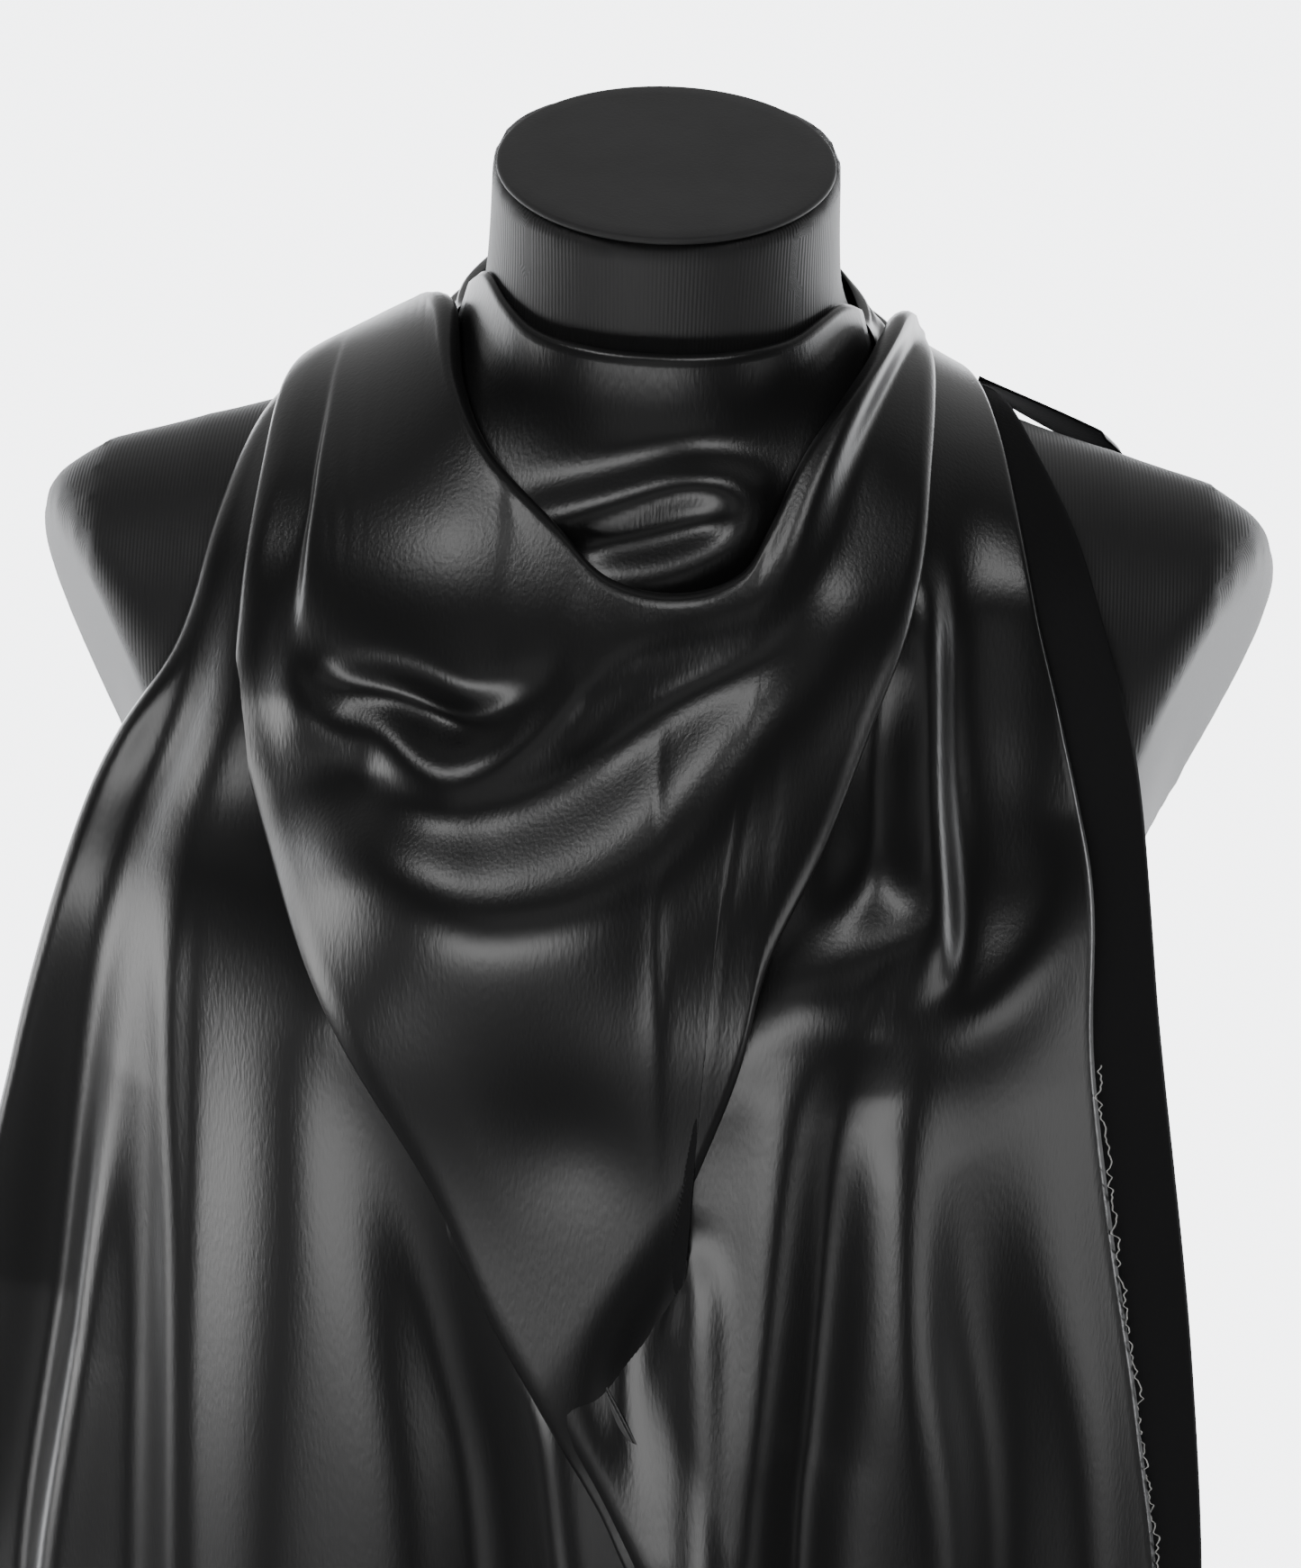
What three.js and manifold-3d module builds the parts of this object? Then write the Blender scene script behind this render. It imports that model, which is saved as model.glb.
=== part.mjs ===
// A jersey-covered dress form on a folding tripod stand, with a length of satin draped over its front.
//
// Millimetres, +Z up. The form faces -Y and the floor is z = 0. Everything is first modelled around the
// stand's pole, and the finished group is then moved back by POLE_Y, so that the origin lies under the
// middle of the whole object.

import * as THREE from 'three';
import { LoftGeometry } from 'three/addons/geometries/LoftGeometry.js';
import { mergeVertices } from 'three/addons/utils/BufferGeometryUtils.js';
import Module from 'manifold-3d';

const wasm = await Module();
wasm.setup();

// ---------------------------------------------------------------- driving dimensions

const GAP = 0.3;                 // between pieces that touch
const POLE_Y = -77;              // the pole's place, in front of the middle of the box

// torso
const HEM_Z = 700;               // lower edge of the moulded torso
const NECK_Z = 1420;             // middle of the neck's flat top
const NECK_Y = -10;
const NECK_TILT = 8;             // degrees, the neck's top leans forward
const SHELL_WALL = 4;
const JERSEY_OUT = 1.8;          // outer face of the jersey above the moulded shell
const BOARD = 9;                 // arm and neck boards
const BASE_BOARD = 12;
const BASE_INSET = 6;            // the base board sits this far above the torso's lower edge
const CAP_RADIUS = 57.2;
const CAP_THICK = 2.6;
const ARM_POINT = [200, 0, 1245];
const ARM_NORMAL = [0.862, -0.402, -0.309];

// each row: height, half width, depth in front, depth behind
const TRUNK_STATIONS = [
  [640, 148, 92, 102], [700, 151, 95, 105], [760, 172, 108, 118], [820, 180, 112, 122],
  [880, 171, 106, 112], [950, 144, 94, 93], [1010, 125, 87, 81], [1070, 137, 94, 84],
  [1130, 155, 102, 95], [1180, 161, 106, 102], [1230, 155, 102, 108], [1270, 138, 90, 103],
  [1305, 104, 74, 88], [1330, 80, 64, 74], [1352, 66, 60, 62], [1380, 59, 60, 55],
  [1430, 57, 64, 48], [1470, 57, 68, 42],
];
// each row: distance from the middle, top, bottom, depth in front, depth behind
const YOKE_STATIONS = [
  [0, 1345, 1180, 70, 88], [60, 1344, 1178, 72, 88], [110, 1327, 1168, 70, 80],
  [160, 1314, 1156, 63, 70], [195, 1304, 1152, 58, 62], [212, 1292, 1154, 55, 58],
  [222, 1277, 1158, 50, 54], [262, 1262, 1174, 40, 44],
];
const TRUNK_POINTS = 26;
const TRUNK_LEVELS = 16;
const YOKE_POINTS = 18;
const YOKE_LEVELS = 10;
const TRUNK_POWER = 2.25;        // 2 is an ellipse, more is squarer
const BUST = { x: 92, z: 1140, rise: 27, width: 42, height: 46 };

// stand
const COLUMN_R = 16;
const COLUMN_WALL = 2;
const COLUMN_BOTTOM = 14;
const COLUMN_TOP = 560;
const POLE_R = 12.5;
const POLE_BOTTOM = 250;
const POLE_TOP = 698;
const ROUND = 20;                // sides of a round part
const SMALL_ROUND = 12;          // sides of a pin or screw
const LEG_PIVOT_R = 36;
const LEG_PIVOT_Z = 330;
const LEG_LENGTH = 404;
const LEG_ANGLE = 40;            // degrees from vertical when the stand is open
const LEG_WIDTH = 12;
const LEG_DEPTH = 14;
const STRUT_LENGTH = 150;        // also the distance from a leg's pivot to its strut
const STRUT_THICK = 5;
const STRUT_DEPTH = 12;
const PIN_R = 3;
const COLLAR_FREE_PLAY = 13;     // how far a strut's lower pin runs along its slot half way through the fold
const LEG_AZIMUTHS = [90, 210, 330];

// satin
const SATIN_CLEAR = 4.5;
const SATIN_OUT = 11.5;
const SATIN_TOP = 1380;
const SATIN_HEM = 441;
const BAND_R = 96;               // the cloth is also kept this far round the neck
const BAND_Y = 8;
const BAND_LOW = 1290;
const TAIL = [[96, 0, 1262], [158, 112, SATIN_TOP]];   // and in this box behind the left shoulder
// each row: height, half width, depth in front, depth behind, middle
const CURTAIN_STATIONS = [
  [430, 236, 142, 60, -24], [600, 236, 142, 60, -24], [800, 234, 143, 60, -24], [950, 228, 144, 60, -24],
  [1080, 206, 143, 60, -12], [1150, 182, 138, 60, -2], [1210, 158, 122, 60, 0], [1260, 130, 98, 60, 0],
];
// the cloth's outline seen from the front, right side going down and left side going up
const SATIN_OUTLINE = [
  [132, 1400], [142, 1300], [160, 1210], [180, 1120], [206, 980], [226, SATIN_HEM],
  [-275, SATIN_HEM], [-272, 950], [-244, 1050], [-204, 1130], [-170, 1210], [-142, 1300], [-132, 1400],
];

// ---------------------------------------------------------------- materials

const paint = (color, roughness, metalness = 0) =>
  new THREE.MeshStandardMaterial({ color, roughness, metalness });

const JERSEY = paint(0x0b0b0d, 0.55);
const CAP_BLACK = paint(0x0d0d0f, 0.7);
const MOULDED = paint(0x2a2a2c, 0.6);
const PLYWOOD = paint(0xb58a5a, 0.6);
const SATIN = paint(0x08080a, 0.3);
const STEEL_BLACK = paint(0x151517, 0.4, 0.6);
const CHROME = paint(0xc8c8cc, 0.15, 1);
const ZINC = paint(0x9a9aa0, 0.35, 1);
const RUBBER = paint(0x101010, 0.9);
const KNOB_BLACK = paint(0x121214, 0.45);

// ---------------------------------------------------------------- solids

const radians = THREE.MathUtils.degToRad;

function toSolid(geometry) {
  const plain = new THREE.BufferGeometry().copy(geometry);
  for (const name of Object.keys(plain.attributes)) {
    if (name !== 'position') plain.deleteAttribute(name);
  }
  const merged = mergeVertices(plain, 1e-3);
  const corners = merged.index.array;
  const kept = [];
  for (let i = 0; i < corners.length; i += 3) {
    const [a, b, c] = [corners[i], corners[i + 1], corners[i + 2]];
    if (a !== b && b !== c && c !== a) kept.push(a, b, c);
  }
  return new wasm.Manifold(new wasm.Mesh({
    numProp: 3,
    vertProperties: new Float32Array(merged.attributes.position.array),
    triVerts: new Uint32Array(kept),
  }));
}

function toGeometry(solid) {
  const { vertProperties, triVerts } = solid.getMesh();
  const geometry = new THREE.BufferGeometry();
  geometry.setAttribute('position', new THREE.BufferAttribute(vertProperties, 3));
  geometry.setIndex(new THREE.BufferAttribute(triVerts, 1));
  geometry.computeVertexNormals();
  return geometry;
}

// A box given by its lowest and highest corners.
function box(low, high) {
  const size = high.map((value, i) => value - low[i]);
  const geometry = new THREE.BoxGeometry(...size);
  geometry.translate(...low.map((value, i) => value + size[i] / 2));
  return toSolid(geometry);
}

// A round bar along Z, between two heights. A second radius makes it a cone.
function bar(radius, low, high, sides = ROUND, topRadius = radius) {
  const geometry = new THREE.CylinderGeometry(topRadius, radius, high - low, sides);
  geometry.rotateX(Math.PI / 2);
  geometry.translate(0, 0, (low + high) / 2);
  return toSolid(geometry);
}

function ring(inner, outer, low, high, sides = ROUND) {
  return bar(outer, low, high, sides).subtract(bar(inner, low - 1, high + 1, sides));
}

// A solid of revolution about Z from [radius, height] points that start and end on the axis.
function turned(profile, sides = ROUND) {
  const geometry = new THREE.LatheGeometry(profile.map(([r, z]) => new THREE.Vector2(r, z)), sides);
  geometry.rotateX(Math.PI / 2);
  return toSolid(geometry);
}

// The same solid, moved by a matrix.
function moved(solid, matrix) {
  const geometry = toGeometry(solid);
  geometry.applyMatrix4(matrix);
  return toSolid(geometry);
}

const shift = (x, y, z) => new THREE.Matrix4().makeTranslation(x, y, z);
const turnX = (degrees) => new THREE.Matrix4().makeRotationX(radians(degrees));
const turnY = (degrees) => new THREE.Matrix4().makeRotationY(radians(degrees));
const turnZ = (degrees) => new THREE.Matrix4().makeRotationZ(radians(degrees));
const chain = (...matrices) => matrices.reduce((all, next) => all.multiply(next), new THREE.Matrix4());

// Everything on the inner side of a plane, as a very large box.
function innerSide(normal, point, beyond = 0) {
  const reach = 3000;
  const out = new THREE.Vector3(...normal).normalize();
  const geometry = new THREE.BoxGeometry(reach, reach, reach);
  geometry.translate(0, 0, -reach / 2 + beyond);
  geometry.applyQuaternion(new THREE.Quaternion().setFromUnitVectors(new THREE.Vector3(0, 0, 1), out));
  geometry.translate(...point);
  return toSolid(geometry);
}

const union = (solids) => solids.reduce((all, next) => all.add(next));

// ---------------------------------------------------------------- torso form

// Catmull-Rom interpolation in a table whose first column rises.
function sample(stations, at) {
  const last = stations.length - 1;
  let i = 0;
  while (i < last - 1 && stations[i + 1][0] < at) i += 1;
  const rows = [i - 1, i, i + 1, i + 2].map((k) => stations[Math.min(Math.max(k, 0), last)]);
  const t = (at - rows[1][0]) / (rows[2][0] - rows[1][0]);
  return stations[0].slice(1).map((_, column) => {
    const [p0, p1, p2, p3] = rows.map((row) => row[column + 1]);
    const bend = 2 * p0 - 5 * p1 + 4 * p2 - p3;
    const twist = -p0 + 3 * p1 - 3 * p2 + p3;
    return 0.5 * (2 * p1 + (p2 - p0) * t + bend * t * t + twist * t * t * t);
  });
}

const signedPower = (value, power) => Math.sign(value) * Math.abs(value) ** power;
const bell = (distance, width) => Math.exp(-0.5 * (distance / width) ** 2);

function trunkSection(z, stations, bust) {
  const [halfWidth, front, back, middle = 0] = sample(stations, z);
  const points = [];
  for (let i = 0; i < TRUNK_POINTS; i += 1) {
    const angle = (2 * Math.PI * i) / TRUNK_POINTS;
    const x = halfWidth * signedPower(Math.cos(angle), 2 / TRUNK_POWER);
    const side = Math.sin(angle);
    let y = (side < 0 ? front : back) * signedPower(side, 2 / TRUNK_POWER);
    if (bust && side < 0) {
      y -= BUST.rise * side * side * bell(Math.abs(x) - BUST.x, BUST.width) * bell(z - BUST.z, BUST.height);
    }
    points.push(new THREE.Vector3(middle + x, y, z));
  }
  return points;
}

function yokeSection(x) {
  const [top, bottom, front, back] = sample(YOKE_STATIONS, Math.abs(x));
  const middle = top - 0.42 * (top - bottom);
  const points = [];
  for (let i = 0; i < YOKE_POINTS; i += 1) {
    const angle = (2 * Math.PI * i) / YOKE_POINTS;
    const side = Math.cos(angle);
    const rise = Math.sin(angle);
    const z = middle + (rise > 0 ? top - middle : middle - bottom) * rise;
    points.push(new THREE.Vector3(x, (side < 0 ? front : back) * side, z));
  }
  return points;
}

// Moves every point of a loft outwards, square to its surface.
function swollen(sections, distance) {
  const at = (i, j) => {
    const section = sections[Math.min(Math.max(i, 0), sections.length - 1)];
    return section[(j + section.length) % section.length];
  };
  return sections.map((section, i) => section.map((point, j) => {
    const around = at(i, j + 1).clone().sub(at(i, j - 1));
    const along = at(i + 1, j).clone().sub(at(i - 1, j));
    return point.clone().addScaledVector(around.cross(along).normalize(), distance);
  }));
}

function levels(from, to, count) {
  return Array.from({ length: count + 1 }, (_, i) => from + ((to - from) * i) / count);
}

function loft(sections, distance) {
  return toSolid(new LoftGeometry(swollen(sections, distance), { capStart: true, capEnd: true }));
}

const trunkSections = levels(640, 1470, TRUNK_LEVELS).map((z) => trunkSection(z, TRUNK_STATIONS, true));
const yokeSections = levels(-262, 262, YOKE_LEVELS).map(yokeSection);
const curtainSections = levels(430, 1260, 8).map((z) => trunkSection(z, CURTAIN_STATIONS, false));

const NECK_NORMAL = [0, -Math.sin(radians(NECK_TILT)), Math.cos(radians(NECK_TILT))];
const NECK_POINT = [0, NECK_Y, NECK_Z];
const mirrored = ([x, y, z]) => [-x, y, z];

const neckSide = (beyond) => innerSide(NECK_NORMAL, NECK_POINT, beyond);
const armSide = (side, beyond) => (side > 0
  ? innerSide(ARM_NORMAL, ARM_POINT, beyond)
  : innerSide(mirrored(ARM_NORMAL), mirrored(ARM_POINT), beyond));

// The torso's outer form, swollen by a distance, with its cut planes moved out by another.
function form(distance, cut = distance) {
  const yoke = loft(yokeSections, distance).intersect(armSide(1, cut)).intersect(armSide(-1, cut));
  return loft(trunkSections, distance).add(yoke).intersect(neckSide(cut));
}

const above = (z) => innerSide([0, 0, -1], [0, 0, z]);
const below = (z) => innerSide([0, 0, 1], [0, 0, z]);

const OPEN = 60;                 // how far a cavity runs on past an open end
const cavity = form(-SHELL_WALL, OPEN);
const boardBlank = form(-SHELL_WALL - GAP, OPEN);

const torsoShell = () => form(0).subtract(cavity).intersect(above(HEM_Z));

const jerseyCover = () => form(JERSEY_OUT).subtract(form(GAP)).intersect(above(HEM_Z));

// A board that closes an arm's end, just inside the jersey.
const armBoard = (side) => loft(yokeSections, -SHELL_WALL - GAP)
  .intersect(armSide(side, 0))
  .subtract(armSide(side, -BOARD));

const neckBoard = () => boardBlank.intersect(neckSide(0)).subtract(neckSide(-BOARD)).intersect(above(1370));

// Pieces that lie on the neck are modelled flat and then laid on its tilted top.
const onNeck = chain(shift(...NECK_POINT), turnX(NECK_TILT));

function neckCap() {
  const low = JERSEY_OUT + GAP;
  const edge = 0.9;
  return moved(turned([
    [0, low], [CAP_RADIUS - edge, low], [CAP_RADIUS, low + edge], [CAP_RADIUS, low + CAP_THICK - edge],
    [CAP_RADIUS - edge, low + CAP_THICK], [0, low + CAP_THICK],
  ], 32), onNeck);
}

const BASE_LOW = HEM_Z + BASE_INSET;
const SCREW_CIRCLE = 29;
const screwPlaces = [45, 135, 225, 315].map((angle) => [
  SCREW_CIRCLE * Math.cos(radians(angle)), SCREW_CIRCLE * Math.sin(radians(angle)),
]);

function baseBoard() {
  const holes = screwPlaces.map(([x, y]) => moved(bar(2, BASE_LOW - 1, BASE_LOW + 9, SMALL_ROUND), shift(x, y, 0)));
  return boardBlank.intersect(above(BASE_LOW)).intersect(below(BASE_LOW + BASE_BOARD)).subtract(union(holes));
}

// ---------------------------------------------------------------- pole socket under the torso

const FLANGE_R = 40;
const FLANGE_THICK = 5;
const SOCKET_R = 17;
const SOCKET_LOW = 646;
const POLE_PLAY = 0.3;
const LOCK_Z = 668;
const KNOB_HOLE_R = 4.3;

function poleSocket() {
  const top = BASE_LOW - GAP;
  const holes = screwPlaces.map(([x, y]) => moved(bar(2.4, top - 10, top + 1, SMALL_ROUND), shift(x, y, 0)));
  return bar(FLANGE_R, top - FLANGE_THICK, top, 36)
    .add(bar(SOCKET_R, SOCKET_LOW, top - 1))
    .add(knobBoss(9, 22, LOCK_Z))
    .subtract(bar(POLE_R + POLE_PLAY, SOCKET_LOW - 1, top - FLANGE_THICK + 1.5))
    .subtract(knobBore(LOCK_Z))
    .subtract(union(holes));
}

function flangeScrew([x, y]) {
  const head = BASE_LOW - GAP - FLANGE_THICK - GAP;
  const screw = turned([
    [0, head - 2.4], [2.4, head - 2.2], [4, head - 1], [4, head], [1.6, head], [1.6, head + 12], [0, head + 13.5],
  ], SMALL_ROUND);
  return moved(screw, shift(x, y, 0));
}

// The boss of a clamp knob, along +Y from the pole, and the bore through it.
function knobBoss(radius, length, z) {
  return moved(bar(radius, 0, length, SMALL_ROUND), chain(shift(0, 0, z), turnX(-90)));
}

const knobBore = (z) => knobBoss(KNOB_HOLE_R, 40, z);

// A five-lobed clamp knob on a screw. Modelled along +Z from the screw's tip and laid along +Y.
function clampKnob(tip, z) {
  const lobes = 5;
  const head = 26;
  const screw = bar(4, 0, head + 1, SMALL_ROUND);
  const grip = bar(11, head, head + 13, 20);
  const lobe = (i) => moved(bar(5.5, head + 1, head + 12, SMALL_ROUND), chain(turnZ((360 / lobes) * i), shift(11, 0, 0)));
  const knob = union([screw, grip, ...levels(0, lobes - 1, lobes - 1).map(lobe)]);
  return moved(knob, chain(shift(0, tip, z), turnX(-90)));
}

// ---------------------------------------------------------------- pole, column and hub

const POLE_GRIP_TIP = POLE_R + GAP;

function innerPole() {
  return ring(POLE_R - 1.5, POLE_R, POLE_BOTTOM + 4 + GAP, POLE_TOP);
}

// The glide on the pole's lower end runs in the column.
function poleGlide() {
  const plug = bar(POLE_R - 1.5 - GAP, POLE_BOTTOM + 2, POLE_BOTTOM + 26);
  return bar(COLUMN_R - COLUMN_WALL - 0.4, POLE_BOTTOM, POLE_BOTTOM + 4).add(plug);
}

function columnTube() {
  return ring(COLUMN_R - COLUMN_WALL, COLUMN_R, COLUMN_BOTTOM + 3 + GAP, COLUMN_TOP);
}

function columnEndCap() {
  return bar(COLUMN_R, COLUMN_BOTTOM, COLUMN_BOTTOM + 3)
    .add(bar(COLUMN_R - COLUMN_WALL - GAP, COLUMN_BOTTOM + 2, COLUMN_BOTTOM + 18));
}

const CLAMP_LOW = COLUMN_TOP - 26;
const CLAMP_HIGH = COLUMN_TOP + 22;
const CLAMP_KNOB_Z = COLUMN_TOP + 10;

// The clamp sits over the column's top end and guides the pole above it.
function heightClamp() {
  return turned([
    [0, CLAMP_LOW], [20, CLAMP_LOW], [21, CLAMP_LOW + 1], [21, CLAMP_HIGH - 3], [18, CLAMP_HIGH], [0, CLAMP_HIGH],
  ])
    .add(knobBoss(9, 24, CLAMP_KNOB_Z))
    .subtract(bar(COLUMN_R + GAP, CLAMP_LOW - 1, COLUMN_TOP + GAP))
    .subtract(bar(POLE_R + POLE_PLAY, CLAMP_LOW, CLAMP_HIGH + 1))
    .subtract(knobBore(CLAMP_KNOB_Z));
}

// A plate standing out from the column, drawn in the plane of one leg's fold: x is outwards, y is up.
function foldPlate(outline, near, far) {
  const shape = new THREE.Shape(outline.map(([x, y]) => new THREE.Vector2(x, y)));
  const geometry = new THREE.ExtrudeGeometry(shape, { depth: far - near, bevelEnabled: false });
  geometry.rotateX(Math.PI / 2);
  geometry.translate(0, far, 0);
  return toSolid(geometry);
}

// A round pin or hole across the fold plane, at a distance from the column and a height.
function crossBar(radius, x, z, near, far) {
  return moved(bar(radius, near, far, SMALL_ROUND), chain(shift(x, 0, z), turnX(-90)));
}

// A closed outline with a round end at its outer side.
function earOutline(inner, outer, low, high) {
  const middle = (low + high) / 2;
  const radius = (high - low) / 2;
  const arc = levels(-90, 90, 8).map((angle) => [
    outer - radius + radius * Math.cos(radians(angle)), middle + radius * Math.sin(radians(angle)),
  ]);
  return [[inner, low], ...arc, [inner, high]];
}

const HUB_RING_R = 26;
const EAR_GAP = LEG_WIDTH / 2 + 0.4;
const EAR_THICK = 4;

function legHub() {
  const ears = LEG_AZIMUTHS.flatMap((azimuth) => [-1, 1].map((side) => {
    const near = side > 0 ? EAR_GAP : -EAR_GAP - EAR_THICK;
    const ear = foldPlate(earOutline(18, LEG_PIVOT_R + 9, LEG_PIVOT_Z - 9, LEG_PIVOT_Z + 9), near, near + EAR_THICK);
    return moved(ear, turnZ(azimuth));
  }));
  const holes = LEG_AZIMUTHS.map((azimuth) =>
    moved(crossBar(PIN_R + GAP, LEG_PIVOT_R, LEG_PIVOT_Z, -20, 20), turnZ(azimuth)));
  return union([bar(HUB_RING_R, LEG_PIVOT_Z - 18, LEG_PIVOT_Z + 18), ...ears])
    .subtract(bar(COLUMN_R + GAP, LEG_PIVOT_Z - 30, LEG_PIVOT_Z + 30))
    .subtract(union(holes));
}

// A rivet across the fold plane with a head at each end.
function rivet(x, z, near, far) {
  const head = 1.6;
  const shank = crossBar(PIN_R, x, z, near - head / 2, far + head / 2);
  const heads = [near - head - GAP, far + GAP].map((start) => crossBar(PIN_R + 2, x, z, start, start + head));
  return union([shank.add(crossBar(PIN_R, x, z, near - head, far + head)), ...heads]);
}

// ---------------------------------------------------------------- legs, struts and sliding collar

// A leg hangs straight down from its pivot in its own frame, and is then opened and turned to its azimuth.
const legPlace = (azimuth) => chain(turnZ(azimuth), shift(LEG_PIVOT_R, 0, LEG_PIVOT_Z), turnY(-LEG_ANGLE));

function leg(azimuth) {
  const half = LEG_DEPTH / 2;
  const arc = levels(0, 180, 8).map((angle) => [half * Math.cos(radians(angle)), half * Math.sin(radians(angle))]);
  const body = foldPlate([...arc, [-half, -LEG_LENGTH], [half, -LEG_LENGTH]], -LEG_WIDTH / 2, LEG_WIDTH / 2);
  const wall = 1.5;
  const hollow = box(
    [-half + wall, -LEG_WIDTH / 2 + wall, -LEG_LENGTH - 1], [half - wall, LEG_WIDTH / 2 - wall, -20]);
  return moved(body.subtract(hollow)
    .subtract(crossBar(PIN_R + GAP, 0, 0, -20, 20))
    .subtract(crossBar(PIN_R + GAP, 0, -STRUT_LENGTH, -20, 20)), legPlace(azimuth));
}

// The rubber foot is a sleeve on the leg's end, cut off level with the floor.
function foot(azimuth) {
  const wall = 3;
  const halfX = LEG_DEPTH / 2;
  const halfY = LEG_WIDTH / 2;
  const sleeve = box([-halfX - wall, -halfY - wall, -LEG_LENGTH - 50], [halfX + wall, halfY + wall, -LEG_LENGTH + 28]);
  const socket = box([-halfX - GAP, -halfY - GAP, -LEG_LENGTH - GAP], [halfX + GAP, halfY + GAP, -LEG_LENGTH + 40]);
  return moved(sleeve.subtract(socket), legPlace(azimuth)).intersect(above(0));
}

// A strut runs from its leg back to the collar, beside the leg.
const STRUT_NEAR = LEG_WIDTH / 2 + 0.6;
const STRUT_FAR = STRUT_NEAR + STRUT_THICK;
const SPREAD_Z = LEG_PIVOT_Z - STRUT_LENGTH * Math.cos(radians(LEG_ANGLE));
const SPREAD_R = LEG_PIVOT_R + STRUT_LENGTH * Math.sin(radians(LEG_ANGLE));
const COLLAR_PIVOT_Z = LEG_PIVOT_Z - 2 * STRUT_LENGTH * Math.cos(radians(LEG_ANGLE));

function strut(azimuth) {
  const half = STRUT_DEPTH / 2;
  const cap = (from, to, z) => levels(from, to, 8).map((angle) => [
    half * Math.cos(radians(angle)), z + half * Math.sin(radians(angle)),
  ]);
  const outline = [...cap(0, 180, 0), ...cap(180, 360, -STRUT_LENGTH)];
  const plate = foldPlate(outline, STRUT_NEAR, STRUT_FAR)
    .subtract(crossBar(PIN_R + GAP, 0, 0, 0, 20))
    .subtract(crossBar(PIN_R + GAP, 0, -STRUT_LENGTH, 0, 20));
  return moved(plate, chain(turnZ(azimuth), shift(SPREAD_R, 0, SPREAD_Z), turnY(LEG_ANGLE)));
}

const strutPin = (azimuth) =>
  moved(rivet(0, -STRUT_LENGTH, -LEG_WIDTH / 2, STRUT_FAR), legPlace(azimuth));

const COLLAR_EAR = [0.4, STRUT_NEAR - 0.6];
const COLLAR_KNOB_TURN = 60;     // degrees, so that the knob stands between two legs
const COLLAR_LOW = COLLAR_PIVOT_Z - 14;
const COLLAR_HIGH = COLLAR_PIVOT_Z + 12;

const collarPin = (azimuth) =>
  moved(rivet(LEG_PIVOT_R, COLLAR_PIVOT_Z, COLLAR_EAR[0], STRUT_FAR), turnZ(azimuth));

// The collar's ears have upright slots, because a strut's end drops a little half way through the fold.
function slideCollar() {
  const earLow = COLLAR_PIVOT_Z - COLLAR_FREE_PLAY - 7;
  const ears = LEG_AZIMUTHS.map((azimuth) => moved(
    foldPlate([[18, COLLAR_LOW], [LEG_PIVOT_R - 2, earLow], [LEG_PIVOT_R + 7, earLow],
      [LEG_PIVOT_R + 7, COLLAR_PIVOT_Z + 5], [LEG_PIVOT_R + 4, COLLAR_PIVOT_Z + 8], [18, COLLAR_HIGH]],
    ...COLLAR_EAR), turnZ(azimuth)));
  const slots = LEG_AZIMUTHS.map((azimuth) => moved(box(
    [LEG_PIVOT_R - PIN_R - GAP, -5, COLLAR_PIVOT_Z - COLLAR_FREE_PLAY - PIN_R - GAP],
    [LEG_PIVOT_R + PIN_R + GAP, 20, COLLAR_PIVOT_Z + PIN_R + GAP]), turnZ(azimuth)));
  const boss = moved(knobBoss(8, 25, COLLAR_PIVOT_Z), turnZ(COLLAR_KNOB_TURN));
  const knobHole = moved(knobBore(COLLAR_PIVOT_Z), turnZ(COLLAR_KNOB_TURN));
  return union([bar(22, COLLAR_LOW, COLLAR_HIGH), boss, ...ears])
    .subtract(bar(COLUMN_R + GAP, COLLAR_LOW - 30, COLLAR_HIGH + 30))
    .subtract(union(slots))
    .subtract(knobHole);
}

// ---------------------------------------------------------------- satin

// The cloth lies close on the shoulders and bust and hangs like a curtain below them.
function satinDrape() {
  const outer = form(SATIN_OUT).add(loft(curtainSections, SATIN_OUT - SATIN_CLEAR));
  const inner = form(SATIN_CLEAR).add(loft(curtainSections, 0));
  const front = foldPlate(SATIN_OUTLINE, -260, 26);
  const band = moved(bar(BAND_R, BAND_LOW, SATIN_TOP, 32), shift(0, BAND_Y, 0));
  const region = front.add(band).add(box(...TAIL)).intersect(below(SATIN_TOP));
  return outer.subtract(inner).intersect(region);
}

const PIN_BEHIND = 78.5;
const PIN_HEIGHT = 1356;
const PIN_LEAN = 78;             // degrees from upright

// A ball-headed dressmaker's pin that lies across the cloth behind the neck.
function drapePin(x) {
  const pin = turned([[0, -14], [0.5, -12], [0.5, 9], [2, 10], [2.4, 12], [2, 14], [0, 14.8]], 8);
  return moved(pin, chain(shift(x, PIN_BEHIND, PIN_HEIGHT), turnY(PIN_LEAN)));
}

// ---------------------------------------------------------------- assembly

const dressForm = new THREE.Group();
dressForm.position.y = POLE_Y;

function add(name, solid, material) {
  const mesh = new THREE.Mesh(toGeometry(solid), material);
  mesh.name = name;
  dressForm.add(mesh);
}

add('torso_shell', torsoShell(), MOULDED);
add('jersey_cover', jerseyCover(), JERSEY);
add('arm_board_left', armBoard(1), PLYWOOD);
add('arm_board_right', armBoard(-1), PLYWOOD);
add('neck_board', neckBoard(), PLYWOOD);
add('neck_cap', neckCap(), CAP_BLACK);
add('base_board', baseBoard(), PLYWOOD);
add('pole_socket', poleSocket(), STEEL_BLACK);
screwPlaces.forEach((place, i) => add(`flange_screw_${i + 1}`, flangeScrew(place), ZINC));
add('torso_lock_knob', clampKnob(POLE_GRIP_TIP, LOCK_Z), KNOB_BLACK);
add('satin_drape', satinDrape(), SATIN);
[-16, 14].forEach((x, i) => add(`drape_pin_${i + 1}`, drapePin(x), ZINC));

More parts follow.
